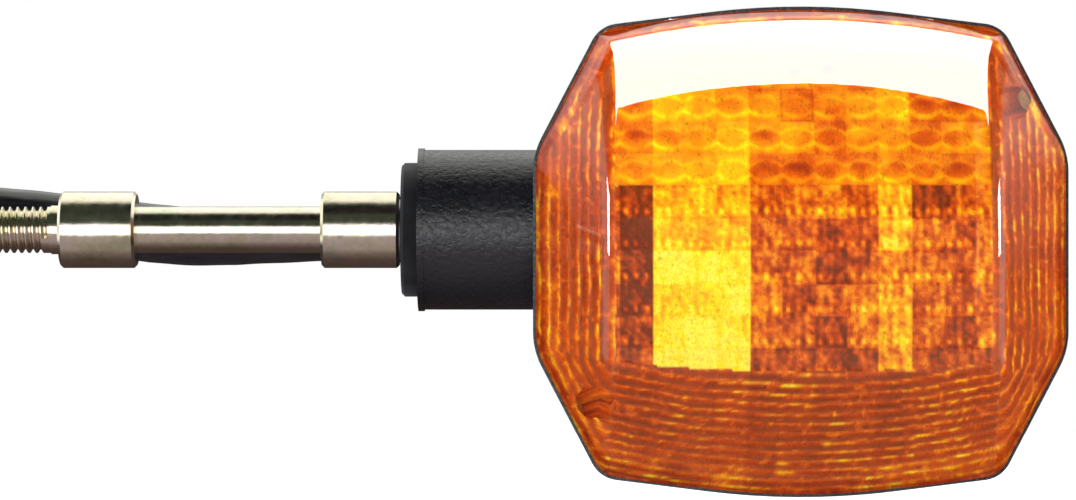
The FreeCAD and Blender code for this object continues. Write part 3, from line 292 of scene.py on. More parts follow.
def clear_glass():
    s = Surface("clear_glass", transmission_weight=1.0, roughness=0.02, ior=1.5)
    seeds = s.noise((0.4, 0.4, 0.4), detail=3.0)
    s.set("Base Color", s.ramp(seeds, [(0.3, (0.93, 0.95, 0.95)), (0.7, (0.98, 0.99, 0.99))]))
    s.bump(seeds, 0.1, 0.05)
    return s.material


def amber_skin():
    """The lens's polished outside: almost clear, so the colour comes from the optics behind it, whose
    amber carries painted light and shade.
    """
    s = Surface("amber_skin", transmission_weight=1.0, roughness=0.0, ior=1.49)
    flow = s.noise((0.05, 0.05, 0.05), detail=2.0)
    s.set("Base Color", s.ramp(flow, [(0.3, (1.0, 0.82, 0.34)), (0.7, (1.0, 0.86, 0.42))]))
    s.bump(s.noise((0.03, 0.03, 0.03), detail=1.0), 0.25, 0.5)
    return s.material


def amber_optics():
    """The lens's moulded back: amber with light and shade painted in, which it also gives off as a glow
    though the lens is no lamp.
    """
    s = Surface("amber_optics", transmission_weight=0.16, ior=1.49)
    # The amber with its painted light and shade, at each point of the lens's back.
    tint = s.nodes.new("ShaderNodeAttribute")
    tint.attribute_name = "optic_amber_painted_light"
    # Painted streaks of light and shade that brighten and darken the painted colour and glow.
    streaks = s.noise((1.7, 0.5, 1.2), detail=6.0, rough=0.7, distort=1.5)
    grain = s.ramp(streaks, [(0.34, 0.45), (0.46, 0.92), (0.56, 1.05), (0.68, 1.45)])
    colour = s.mix(0.8, tint.outputs["Color"], grain, "MULTIPLY")
    s.set("Base Color", colour)
    # The same painted colour is given off as a painted glow, though the lens is no lamp.
    s.set("Emission Color", colour)
    s.set("Emission Strength", 0.36)
    s.set("Roughness", 0.12)
    s.bump(streaks, 0.5, 0.25)
    return s.material

# ---------------------------------------------------------------- mesh helpers


def add_object(name, mesh):
    obj = bpy.data.objects.new(name, mesh)
    bpy.context.scene.collection.objects.link(obj)
    return obj


def mesh_object(name, vertices, faces, material):
    """A smooth-shaded object from vertices in millimetres and faces, riding on nothing yet."""
    mesh = bpy.data.meshes.new(name)
    mesh.from_pydata([tuple(v) for v in np.asarray(vertices) * MM], [], [tuple(f) for f in faces])
    mesh.polygons.foreach_set("use_smooth", [True] * len(mesh.polygons))
    mesh.materials.append(material)
    mesh.update()
    return add_object(name, mesh)


def joined_rings(near, far):
    """Four-sided faces between two closed rings of vertices."""
    return np.stack([near, far, np.roll(far, -1), np.roll(near, -1)], -1)


# ---------------------------------------------------------------- lens: form
# Places on the lens are x and z from its centre; depths are y in the frame.

lens_low, lens_high = (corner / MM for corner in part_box("lens"))
LENS_X = (lens_low.x + lens_high.x) / 2
LENS_Z = (lens_low.z + lens_high.z) / 2
# The rim: half its size, its corners at the sides and by the bowed top and bottom, their rounds,
# and the corner in the middle of the bow, which the largest round smooths away.
RIM_WIDE = (lens_high.x - lens_low.x) / 2
RIM_HIGH = (lens_high.z - lens_low.z) / 2
RIM_SIDE = 15.575
RIM_CORNER_X = 31.75
RIM_CORNER_Z = 35.62
RIM_SIDE_ROUND = 11.5
RIM_CORNER_ROUND = 4.65
RIM_CROWN_ROUND = 120.0
RIM_APEX_Z = RIM_HIGH + 0.94
ARC_STEPS = 12
OUTLINE_STEPS = 3200
# The bow of the top and bottom facets is a little flatter than the rim's own; far outside the rim
# its height stays level, at this share of the radius squared.
BOW_EASE = 1.05
BOW_REACH = 0.9
# The flange, the doubly curved face, and the rounding of every edge between facets.
FLANGE_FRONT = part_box("housing")[0].y / MM - 0.3
LENS_SEAT = FLANGE_FRONT + 2.2
FACE_FRONT = lens_low.y
WALL = 2.2
FACE_LEVEL = -5.0
FACE_CURVE_UPRIGHT = 70.0
FACE_CURVE_ACROSS = 200.0
EDGE_ROUND = 1.5
# Slope of each facet: millimetres forward per millimetre in from the rim.
SLOPE = {"top": 4.2, "bottom": 1.0, "upper": 3.7, "lower": 1.95}
# The face's upright edges.
FACE_LEFT = 31.1
FACE_RIGHT = 29.8
# The face's optics: square cells, cups in the upper rows and fluted prisms in the lower ones.
CELL = 5.0
CELL_ORIGIN_X = -29.07
CELL_ORIGIN_Z = -19.92
PRISM_ROWS = 6
CUPS_FROM = CELL_ORIGIN_Z + PRISM_ROWS * CELL
CUP_DEPTH = 0.85
CUP_CROWN = 0.5
PRISM_DEPTH = 0.55
PRISM_CROWN = 0.4
PRISM_TILT = 0.16
FLUTES = 3
FLUTE_DEPTH = 0.05
RIB_PITCH = 1.55
RIB_DEPTH = 0.30
BOSS_SPOTS = ((32.2, 23.2), (-32.2, -23.2))
BOSS_RADIUS = 2.4
BOSS_END = -6.0
# The mesh: a square grid over the face, and rings from its border out to the rim.
GRID_STEP = 0.305
GRID_HALF_WIDTH = 29.28
GRID_LOW = -18.3
GRID_HIGH = 31.72
RIM_RINGS = 56


def rounded_corner(corner, before, after, radius):
    """Points on the arc that rounds one corner of an outline."""
    here = Vector(corner)
    back = (Vector(before) - here).normalized()
    ahead = (Vector(after) - here).normalized()
    half = back.angle(ahead) / 2
    centre = here + (back + ahead).normalized() * radius / math.sin(half)
    first = here + back * radius / math.tan(half) - centre
    sweep = math.pi - 2 * half
    arc = []
    for step in range(ARC_STEPS + 1):
        turn = sweep * step / ARC_STEPS
        cos, sin = math.cos(turn), math.sin(turn)
        arc.append((centre.x + first.x * cos - first.y * sin,
                    centre.y + first.x * sin + first.y * cos))
    return arc


def rim_outline():
    """The lens's rounded octagon: an even sweep of angles, and the distance to the rim at each."""
    quarter = [(RIM_WIDE, RIM_SIDE, RIM_SIDE_ROUND), (RIM_CORNER_X, RIM_CORNER_Z, RIM_CORNER_ROUND)]
    crown_corner = [(0.0, RIM_APEX_Z, RIM_CROWN_ROUND)]
    upper = quarter + crown_corner + [(-x, z, radius) for x, z, radius in reversed(quarter)]
    corners = upper + [(-x, -z, radius) for x, z, radius in upper]
    points = []
    for index, (x, z, radius) in enumerate(corners):
        before = corners[index - 1][:2]
        after = corners[(index + 1) % len(corners)][:2]
        points += rounded_corner((x, z), before, after, radius)
    points = np.array(points + points[:1])
    angles = np.unwrap(np.arctan2(points[:, 1], points[:, 0]))
    angles[-1] = angles[0] + 2 * math.pi
    sweep = np.linspace(angles[0], angles[-1], OUTLINE_STEPS)
    xs = np.interp(sweep, angles, points[:, 0])
    zs = np.interp(sweep, angles, points[:, 1])
    return sweep, np.hypot(xs, zs)


RIM_ANGLES, RIM_REACHES = rim_outline()


def rim_reach(angle):
    """The distance from the lens's centre to its rim in each direction."""
    start = RIM_ANGLES[0]
    return np.interp(start + np.mod(angle - start, 2 * math.pi), RIM_ANGLES, RIM_REACHES)


def bowed_height(x):
    """The height of the top facet's foot at x, along its bow; the bottom's is its mirror."""
    half_turn = math.atan2(RIM_APEX_Z - RIM_CORNER_Z, RIM_CORNER_X)
    radius = RIM_CORNER_X / math.sin(2 * half_turn) * BOW_EASE
    return RIM_HIGH - radius + np.sqrt(radius ** 2 - np.minimum(x ** 2, radius ** 2 * BOW_REACH))


def crown(x, z):
    """The doubly curved face, as a depth at each point."""
    rise = z - FACE_LEVEL
    upright = FACE_CURVE_UPRIGHT - np.sqrt(FACE_CURVE_UPRIGHT ** 2 - rise ** 2)
    return FACE_FRONT + upright + x ** 2 / (2 * FACE_CURVE_ACROSS)


def facet_distances(x, z):
    """How far each point lies inside each edge of the rim, with that facet's slope."""
    run = Vector((RIM_CORNER_X - RIM_WIDE, RIM_CORNER_Z - RIM_SIDE)).normalized()
    across, up = run.y, -run.x
    corner_reach = across * RIM_WIDE + up * RIM_SIDE
    left_slope = (FLANGE_FRONT - crown(-FACE_LEFT, z)) / (RIM_WIDE - FACE_LEFT)
    right_slope = (FLANGE_FRONT - crown(FACE_RIGHT, z)) / (RIM_WIDE - FACE_RIGHT)
    return [
        (RIM_WIDE + x, left_slope),
        (RIM_WIDE - x, right_slope),
        (bowed_height(x) - z, SLOPE["top"]),
        (bowed_height(x) + z, SLOPE["bottom"]),
        (corner_reach - across * x - up * z, SLOPE["upper"]),
        (corner_reach + across * x - up * z, SLOPE["upper"]),
        (corner_reach - across * x + up * z, SLOPE["lower"]),
        (corner_reach + across * x + up * z, SLOPE["lower"]),
    ]


def smooth_max(first, second, width):
    """The larger of two height fields, with the crease between them rounded."""
    overlap = np.maximum(width - np.abs(first - second), 0.0)
    return np.maximum(first, second) + overlap ** 2 / (4.0 * width)


def outer_skin(x, z):
    """The polished outside of the lens, as a depth at each point."""
    skin = crown(x, z)
    for inside, slope in facet_distances(x, z):
        skin = smooth_max(skin, FLANGE_FRONT - slope * inside, EDGE_ROUND)
    return skin


def scatter(columns, rows, seed):
    """A fixed pseudo-random number from 0 to 1 for each whole-numbered place."""
    wave = np.sin(columns * 12.9898 + rows * 78.233 + seed * 37.719) * 43758.5453
    return wave - np.floor(wave)


def soft_noise(x, z, pitch, seed):
    """Smooth noise from 0 to 1 whose lumps are about one pitch across."""
    across, up = x / pitch, z / pitch
    column, row = np.floor(across), np.floor(up)
    u, v = across - column, up - row
    u, v = u * u * (3 - 2 * u), v * v * (3 - 2 * v)
    low = scatter(column, row, seed) * (1 - u) + scatter(column + 1, row, seed) * u
    high = scatter(column, row + 1, seed) * (1 - u) + scatter(column + 1, row + 1, seed) * u
    return low * (1 - v) + high * v


def cell_place(x, z):
    """Each point's cell, and its place in that cell from -1 to 1 both ways."""
    across = (x - CELL_ORIGIN_X) / CELL
    up = (z - CELL_ORIGIN_Z) / CELL
    column, row = np.floor(across), np.floor(up)
    return column, row, 2 * (across - column) - 1, 2 * (up - row) - 1


def face_optics(x, z):
    """The relief on the back of the face: round cups above, tilted fluted prisms below."""
    column, row, u, v = cell_place(x, z)
    cups = CUP_DEPTH * (1 - CUP_CROWN * (u ** 2 + v ** 2))
    tilt_u = 2 * scatter(column, row, seed=1.0) - 1
    tilt_v = 2 * scatter(column, row, seed=2.0) - 1
    flutes = FLUTE_DEPTH * np.cos(math.pi * FLUTES * u) * np.cos(math.pi * FLUTES * v)
    prisms = PRISM_DEPTH * (1 - PRISM_CROWN * (u ** 2 + v ** 2))
    prisms += PRISM_TILT * (tilt_u * u + tilt_v * v) + flutes
    return np.where(z > CUPS_FROM, cups, prisms)


# ---------------------------------------------------------------- lens: painted light in the optics
# Glow is light and shade painted into the lens's amber. It runs from 0, the darkest amber, to 1, the
# hottest yellow.

# Where light pools on the face: a hot block of columns that is hottest in its lower rows, a bright
# column, a thin one near the right edge, and a column in shade at the left.
FACE_GLOW = 0.46
HOT_X, HOT_HALF_WIDTH, HOT_TOP = -16.5, 8.0, 1.0
HOT_EDGE = 6
BRIGHT_X, BRIGHT_WIDTH, BRIGHT_GLOW = 13.4, 2.6, 0.34
THIN_X, THIN_WIDTH, THIN_GLOW = 27.0, 1.2, 0.14
SHADE_X, SHADE_WIDTH, SHADE_DEPTH = -26.6, 2.6, 0.40
SHADE_Z, SHADE_HEIGHT = 2.0, 9.0
POOL_FADE = 1.2
CUP_FADE_ABOVE = 1.0
REEDS = 4
SEAM_WIDTH = 0.07
FACET_GLOW = 0.20

# The amber at rising glow, from red-brown shade to the hottest yellow.
AMBER_STOPS = (0.0, 0.22, 0.42, 0.60, 0.80, 1.0, 1.25)
AMBER_RED = (0.15, 0.42, 0.66, 0.82, 0.92, 0.98, 1.00)
AMBER_GREEN = (0.015, 0.042, 0.112, 0.27, 0.51, 0.84, 0.95)
AMBER_BLUE = (0.002, 0.003, 0.004, 0.005, 0.007, 0.010, 0.15)


def amber_shade(glow):
    channels = [np.interp(glow, AMBER_STOPS, levels) for levels in (AMBER_RED, AMBER_GREEN, AMBER_BLUE)]
    return np.stack(channels + [np.ones_like(glow)], -1)


def bell(value, width):
    return np.exp(-(value / width) ** 2)


def below(z, level):
    """1 well below a level, 0 well above it."""
    return 1 / (1 + np.exp((z - level) / POOL_FADE))


def light_pools(x, column, row):
    """The light that reaches each cell, how hot it is, and how far down the face it lies."""
    middle_x = CELL_ORIGIN_X + (column + 0.5) * CELL
    middle_z = CELL_ORIGIN_Z + (row + 0.5) * CELL
    lower = below(middle_z, CUPS_FROM + CUP_FADE_ABOVE)
    lowest = below(middle_z, HOT_TOP)
    hot = np.exp(-((middle_x - HOT_X) / HOT_HALF_WIDTH) ** HOT_EDGE)
    hot = hot * (0.22 + 0.20 * lower + 0.38 * lowest)
    bright = BRIGHT_GLOW * bell(middle_x - BRIGHT_X, BRIGHT_WIDTH)
    bright += THIN_GLOW * bell(x - THIN_X, THIN_WIDTH)
    shade = SHADE_DEPTH * bell(middle_x - SHADE_X, SHADE_WIDTH) * bell(middle_z - SHADE_Z, SHADE_HEIGHT)
    light = FACE_GLOW - 0.09 * lower + hot + bright * (0.35 + 0.65 * lower) - shade * lower
    return light, hot, lower


def cup_glow(x, z, column, row, u, v):
    """A painted dark blob of shade in the middle of most cups, between two bright arcs of painted
    light, all slightly uneven.
    """
    shade_blobs = bell(np.hypot(u * 0.9, (v - 0.15) * 1.3), 0.62)
    shade_blobs *= scatter(column, row, seed=4.0) - 0.25
    low_arc = bell(v + 0.72 - 0.4 * u ** 2, 0.16)
    high_arc = bell(v - 0.55 + 0.35 * u ** 2, 0.13)
    arcs = (low_arc + 0.7 * high_arc) * (0.3 + soft_noise(x, z, pitch=2.1, seed=5.0))
    uneven = soft_noise(x, z, pitch=1.2, seed=16.0) - 0.5
    return 0.08 - 0.42 * shade_blobs + 0.26 * arcs + 0.22 * uneven


def prism_glow(x, z, u, v):
    """Bright spots of painted light in each prism's lower part, over upright reeds and fine upright
    grain of painted light and shade.
    """
    glint_spots = bell(np.hypot(1 - np.cos(math.pi * FLUTES * u), (v + 0.55) * 3.4), 0.75)
    reeds = np.cos(2 * math.pi * (x / CELL * REEDS + 0.6 * soft_noise(x, z, pitch=3.0, seed=6.0)))
    coarse = soft_noise(x, z * 0.6, pitch=0.9, seed=7.0)
    fine = soft_noise(x * 0.8, z, pitch=0.5, seed=8.0)
    return 0.40 * glint_spots + 0.06 * reeds + 0.50 * (coarse + 0.7 * fine - 0.85) - 0.06


def face_glow(x, z):
    """How brightly each point of the face glows with painted light: the pools of light, the cells, and
    painted shading along the cell edges, mostly darker.
    """
    column, row, u, v = cell_place(x, z)
    glow, hot, lower = light_pools(x, column, row)
    glow += (scatter(column, row, seed=3.0) - 0.5) * (0.16 + 0.20 * lower)
    cells = np.where(z > CUPS_FROM, cup_glow(x, z, column, row, u, v), prism_glow(x, z, u, v))
    glow += cells * (1.0 - 0.55 * hot)
    # Painted shading along each cell's edges, mostly darker.
    seam_shading = np.maximum(bell(1 - np.abs(u), SEAM_WIDTH), bell(1 - np.abs(v), SEAM_WIDTH))
    glow += seam_shading * (0.18 * scatter(column, row, seed=9.0) - 0.14)
    return glow + 0.20 * (soft_noise(x, z, pitch=4.0, seed=10.0) - 0.5)


def facet_glow(x, z, inside):
    """How brightly the ribbed facets glow with painted light: broken bright lines of painted light
    between ribs in painted red-brown shade, and painted streaks near the rim.
    """
    wander = 0.34 * soft_noise(x, z, pitch=6.0, seed=11.0)
    wander += 0.20 * soft_noise(x, z, pitch=1.3, seed=12.0)
    phase = (inside / RIB_PITCH + wander) % 1.0
    broken = soft_noise(x, z, pitch=0.9, seed=13.0) * soft_noise(x, z, pitch=4.0, seed=17.0)
    thread_glints = bell(phase - 0.25, 0.12) * (0.12 + 2.2 * broken)
    thread_glints += 2.4 * np.maximum(soft_noise(x, z, pitch=0.75, seed=19.0) - 0.74, 0.0)
    dark = bell(phase - 0.72, 0.18) * (0.3 + 1.2 * soft_noise(x, z, pitch=1.7, seed=18.0))
    column = np.floor((x - CELL_ORIGIN_X) / CELL)
    panels = 0.10 * (scatter(column, 0.0, seed=14.0) - 0.5)
    near_rim = bell(inside - 3.0, 2.6) * soft_noise(x, z, pitch=2.4, seed=15.0)
    return FACET_GLOW + 0.46 * thread_glints - 0.12 * dark + panels + 0.26 * near_rim


# ---------------------------------------------------------------- lens: the piece


def inner_skin(x, z):
    """The back of the lens and its painted glow: even walls, ribs on the facets, cells on the face."""
    best = crown(x, z) + WALL
    pattern = face_optics(x, z)
    glow = face_glow(x, z)
    for inside, slope in facet_distances(x, z):
        steep = np.sqrt(1 + slope ** 2)
        wall = FLANGE_FRONT - slope * inside + WALL * steep
        phase = (inside / RIB_PITCH) % 1.0
        ribs = RIB_DEPTH * steep * (1 - (2 * phase - 1) ** 2)
        on_facet = wall > best
        pattern = np.where(on_facet, ribs, pattern)
        glow = np.where(on_facet, facet_glow(x, z, inside), glow)
        best = np.maximum(best, wall)
    skin = np.minimum(best + pattern, LENS_SEAT)
    for spot_x, spot_z in BOSS_SPOTS:
        reach = np.hypot(x - spot_x, z - spot_z)
        skin = np.where(reach < BOSS_RADIUS, BOSS_END, skin)
    return skin, glow


def lens_sheet():
    """The lens seen square on, as a flat mesh: x and z of its points, its faces and its rim."""
    columns = int(round(2 * GRID_HALF_WIDTH / GRID_STEP))
    rows = int(round((GRID_HIGH - GRID_LOW) / GRID_STEP))
    xs = np.linspace(-GRID_HALF_WIDTH, GRID_HALF_WIDTH, columns + 1)
    zs = np.linspace(GRID_LOW, GRID_HIGH, rows + 1)
    grid_x, grid_z = (axis.ravel() for axis in np.meshgrid(xs, zs))
    index = np.arange(grid_x.size).reshape(rows + 1, columns + 1)
    border = np.concatenate([index[0, :-1], index[:-1, -1], index[-1, :0:-1], index[:0:-1, 0]])
    edge_x, edge_z = grid_x[border], grid_z[border]
    angle = np.arctan2(edge_z, edge_x)
    reach = rim_reach(angle)
    squares = np.stack([index[:-1, :-1], index[:-1, 1:], index[1:, 1:], index[1:, :-1]], -1)
    all_x, all_z, faces = [grid_x], [grid_z], [squares.reshape(-1, 4)]
    near = border
    for ring in range(RIM_RINGS):
        t = (ring + 1) / RIM_RINGS
        all_x.append(edge_x * (1 - t) + reach * np.cos(angle) * t)
        all_z.append(edge_z * (1 - t) + reach * np.sin(angle) * t)
        far = grid_x.size + ring * border.size + np.arange(border.size)
        faces.append(joined_rings(near, far))
        near = far
    return np.concatenate(all_x), np.concatenate(all_z), np.concatenate(faces), near


def build_lens():
    """One closed shell: the clear outside, the moulded back glowing with painted light, and the
    flange's edge.
    """
    x, z, sheet, rim = lens_sheet()
    inner_y, glow = inner_skin(x, z)
    outer = np.stack([x + LENS_X, outer_skin(x, z), z + LENS_Z], -1)
    inner = np.stack([x + LENS_X, inner_y, z + LENS_Z], -1)
    outer[rim, 1] = np.minimum(outer[rim, 1], FLANGE_FRONT)
    inner[rim, 1] = LENS_SEAT
    edge = joined_rings(rim, rim + x.size)
    faces = np.concatenate([sheet, sheet[:, ::-1] + x.size, edge])
    lens = mesh_object("amber_lens", np.concatenate([outer, inner]), faces.tolist(), amber_skin())
    lens.data.materials.append(amber_optics())
    slots = np.zeros(len(faces), int)
    slots[len(sheet):2 * len(sheet)] = 1
    lens.data.polygons.foreach_set("material_index", slots)
    # The amber with its painted light and shade, on both skins' points.
    amber_and_painted_light = lens.data.color_attributes.new("optic_amber_painted_light", "FLOAT_COLOR", "POINT")
    amber_and_painted_light.data.foreach_set("color", np.tile(amber_shade(glow), (2, 1)).ravel())
    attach(lens, "head")
    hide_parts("lens")
    return lens


# ---------------------------------------------------------------- soft parts

WIRE_COLOURS = {"live": (0.20, 0.02, 0.02), "ground": (0.02, 0.02, 0.022)}
# How far before the damper ring the wires' two lengths meet.
MEET_BEFORE_RING = 1.3
CUT_TOLERANCE = 1e-7

# The sleeve's middle line, as x and z: its two ends' heights and the points between them.
SLEEVE_OUTER_Z = 3.2
SLEEVE_INNER_Z = -0.35
SLEEVE_ROUTE = ((-28, 3.0), (-10, 2.1), (8, 0.1), (21, -1.05), (36, -0.85))
SLEEVE_RADIUS = 4.93
SLEEVE_WALL = 0.8
SLEEVE_TAPER_FROM = 18.0
SLEEVE_TAPER = 0.55
SLEEVE_SIDES = 40
SLEEVE_SPAN_STEPS = 16


def soft_copy(node, name, material):
    """A new piece with a CAD node's form and its own material."""
    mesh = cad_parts[node].data.copy()
    mesh.materials.clear()
    mesh.materials.append(material)
    return add_object(name, mesh)


def keep_side(obj, x_mm, keep_above):
    """Cuts a piece square across at x and closes the cut."""
    mesh = bmesh.new()
    mesh.from_mesh(obj.data)
    everything = mesh.verts[:] + mesh.edges[:] + mesh.faces[:]
    cut = bmesh.ops.bisect_plane(mesh, geom=everything, dist=CUT_TOLERANCE, plane_co=(x_mm * MM, 0, 0),
                                 plane_no=(1, 0, 0), clear_inner=keep_above, clear_outer=not keep_above)
    border = [item for item in cut["geom_cut"] if isinstance(item, bmesh.types.BMEdge)]
    bmesh.ops.holes_fill(mesh, edges=border)
    mesh.to_mesh(obj.data)
    mesh.free()


def blend_along(piece):
    """Bakes a wire piece's placing into its mesh, without bending it."""
    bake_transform(piece)


def build_wires():
    """Each wire in two pieces that meet inside the damper's web."""
    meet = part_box("damper_ring")[0].x / MM - MEET_BEFORE_RING
    for name, colour in WIRE_COLOURS.items():
        insulation = wire_insulation(f"{name}_insulation", colour)
        outside = soft_copy(f"{name}_wire", f"{name}_wire_outside", insulation)
        keep_side(outside, meet, False)
        blend_along(outside)
        inside = soft_copy(f"{name}_wire", f"{name}_wire_inside", insulation)
        keep_side(inside, meet, True)
        blend_along(inside)
        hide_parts(f"{name}_wire")


def smooth_path(points, steps):
    """Points along a Catmull-Rom curve through the given ones, evenly many in each span."""
    points = np.asarray(points, float)
    padded = np.concatenate([[2 * points[0] - points[1]], points, [2 * points[-1] - points[-2]]])
    path = []
    for index in range(len(points) - 1):
        before, here, there, after = padded[index:index + 4]
        for step in range(steps):
            t = step / steps
            path.append(0.5 * (2 * here + (there - before) * t
                               + (2 * before - 5 * here + 4 * there - after) * t ** 2
                               + (3 * here - before - 3 * there + after) * t ** 3))
    path.append(points[-1])
    return np.array(path)


def sleeve_ring(x, y, z, wall, inner_end):
    """One ring of the sleeve's outside, or of its bore when wall is the sleeve's own."""
    taper = SLEEVE_TAPER * np.clip((x - SLEEVE_TAPER_FROM) / (inner_end - SLEEVE_TAPER_FROM), 0, 1)
    turn = np.linspace(0, 2 * math.pi, SLEEVE_SIDES, endpoint=False)
    dents = 0.06 * np.sin(x * 0.23 + 2 * turn) + 0.04 * np.sin(x * 0.61 - 3 * turn)
    reach = SLEEVE_RADIUS - taper - wall - np.abs(dents)
    return np.stack([np.full(SLEEVE_SIDES, x), y + reach * np.cos(turn), z + reach * np.sin(turn)], -1)


def build_sleeve():
    """The vinyl sleeve: a thin tube, drawn narrower towards the lamp, with soft dents."""
    low, high = (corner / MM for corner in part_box("harness_sleeve"))
    route = [(low.x, SLEEVE_OUTER_Z), *SLEEVE_ROUTE, (high.x, SLEEVE_INNER_Z)]
    path = smooth_path([(x, (low.y + high.y) / 2, z) for x, z in route], SLEEVE_SPAN_STEPS)
    vertices = [sleeve_ring(*point, wall, high.x) for wall in (0.0, SLEEVE_WALL) for point in path]
    outside, bore = np.arange(2 * len(path) * SLEEVE_SIDES).reshape(2, len(path), SLEEVE_SIDES)
    faces = []
    for ring in range(len(path) - 1):
        faces.append(joined_rings(outside[ring], outside[ring + 1]))
        faces.append(joined_rings(bore[ring + 1], bore[ring]))
    faces.append(joined_rings(bore[0], outside[0]))
    faces.append(joined_rings(outside[-1], bore[-1]))
    sleeve = mesh_object("vinyl_sleeve", np.concatenate(vertices), np.concatenate(faces).tolist(),
                         glossy_vinyl())
    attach(sleeve, "stem")
    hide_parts("harness_sleeve")


def build_rubber():
    """The damper, as its own copy of the rubber's CAD form, baked where it stands."""
    damper = soft_copy("rubber_damper", "rubber_bush", soft_rubber())
    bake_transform(damper)
    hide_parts("rubber_damper")


def build_spring():
    """The contact spring, as its own copy riding on the head."""
    spring = soft_copy("contact_spring", "contact_coil", tungsten())
    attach(spring, "head")
    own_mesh(spring)
    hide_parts("contact_spring")


# ---------------------------------------------------------------- carried CAD nodes


def finish_nodes():
    """Gives every CAD node that stays its own detailed material."""
    zinc = yellow_zinc()
    plate = bright_zinc()
    rubber = soft_rubber()
    tin = brass("tinned_brass", (0.82, 0.74, 0.55))
    finishes = {
        "stem_rod": zinc, "outer_collar": zinc, "inner_collar": zinc,
        "damper_bush": plate, "damper_washer": plate, "lock_washer": plate, "stem_nut": plate,
        "live_bullet": tin, "ground_bullet": tin, "live_boot": rubber, "ground_boot": rubber,
        "damper_ring": rubber,
        "housing": black_plastic(), "lens_gasket": rubber, "lens_screws": plate,
        "reflector": metallised_dish(), "socket_shell": plate, "socket_insulator": fibre_board(),
        "socket_bracket": plate, "bracket_screw": plate, "ground_lug": tin,
        "contact_plunger": fibre_board(), "contact_button": brass("button_brass"),
        "bulb_base": brass(), "bulb_insulator": dark_bead(), "bulb_contact": tin,
        "bulb_glass": clear_glass(), "bulb_mount": clear_glass(),
        "bulb_supports": tungsten(), "bulb_filament": tungsten(),
    }
    for name, material in finishes.items():
        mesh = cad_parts[name].data
        mesh.materials.clear()
        mesh.materials.append(material)

# ---------------------------------------------------------------- stage, light and camera

FLOOR_DROP = 60.0
FLOOR_REACH = 1500.0
FLOOR_GLOW = 0.45

# What reflections see, by angle round the stem from straight down and behind, through the
# camera's side, to straight up and behind: brown floor, pale floor, dark wall, bright ceiling.
STUDIO_RING = (
    (0.00, (0.05, 0.035, 0.03)),
    (0.22, (0.09, 0.065, 0.06)),
    (0.29, (0.20, 0.155, 0.15)),
    (0.33, (0.36, 0.30, 0.30)),
    (0.43, (0.44, 0.38, 0.39)),
    (0.455, (0.34, 0.34, 0.34)),
    (0.54, (0.30, 0.30, 0.30)),
    (0.56, (0.030, 0.042, 0.026)),
    (0.735, (0.045, 0.062, 0.038)),
    (0.77, (1.30, 1.28, 1.16)),
    (0.89, (1.60, 1.60, 1.52)),
    (0.94, (0.60, 0.60, 0.60)),
    (1.00, (0.10, 0.08, 0.07)),
)
# Reflections that look almost straight along the stem meet a white side wall.
SIDE_WALL = (1.5, 1.5, 1.5)
SIDE_WALL_FROM, SIDE_WALL_FULL = 0.92, 0.97
STUDIO_FILL = (0.95, 0.95, 0.95)
WHITE = (1.0, 1.0, 1.0)

# The camera: how much of the object's length it frames, from a little left of the outer collar.
FRAMED_LENGTH = 175.8
LEFT_MARGIN = 10.0
CAMERA_DISTANCE = 650.0
CAMERA_Z = -3.3
SENSOR_WIDTH = 36.0

# The overhead sheet that the lens mirrors: its middle, size, height, back edge, front edge, and how
# far the front edge arches by ARCH_SPAN from the middle.
SHEET_X, SHEET_HALF_WIDTH, SHEET_Z = 140.0, 165.0, 262.0
SHEET_BACK, SHEET_FRONT = -52.0, -193.0
SHEET_ARCH, ARCH_SPAN = 71.0, 150.0
SHEET_STEPS = 24
SHEET_GLOW = 23.0

# Soft boxes: centre, width and height, the point they face, and brightness.
LEFT_GLINT = ((-400, -150, 95), (150, 120), (120, -30, 0), 30.0)
RIGHT_GLINT = ((640, -150, 95), (150, 120), (120, -30, 0), 30.0)
STEM_CARD = ((-10, -600, -8), (300, 330), (30, 0, -8), 2.1)
ROOM_LIGHT = ((-150, -500, 500), (300, 300), (60, 0, 0), 1.2)
CARD_LIT_NODES = ("stem_rod", "outer_collar", "inner_collar", "housing")


def soft_box(name, centre, size, aim, brightness):
    """An area light aimed at a point, seen in reflections but not by the camera."""
    data = bpy.data.lights.new(name, "AREA")
    data.shape = "RECTANGLE"
    data.size, data.size_y = size[0] * MM, size[1] * MM
    data.energy = brightness * data.size * data.size_y * math.pi
    light = add_object(name, data)
    light.location = Vector(centre) * MM
    light.rotation_euler = (Vector(aim) - Vector(centre)).to_track_quat("-Z", "Y").to_euler()
    light.visible_camera = False
    return light


def build_stage():
    """A plain pale floor, below the lamp and open on all sides."""
    floor_z = cad_low.z / MM - FLOOR_DROP
    corners = [(side_x * FLOOR_REACH, side_y * FLOOR_REACH, floor_z)
               for side_x, side_y in ((-1, -1), (1, -1), (1, 1), (-1, 1))]
    s = Surface("studio_white", roughness=0.9)
    s.set("Base Color", s.ramp(s.noise((0.002, 0.002, 0.002)), [(0.3, 0.93), (0.7, 0.95)]))
    s.set("Emission Color", WHITE)
    s.set("Emission Strength", FLOOR_GLOW)
    floor = mesh_object("studio_floor", corners, [(0, 1, 2, 3)], s.material)
    floor.visible_glossy = False


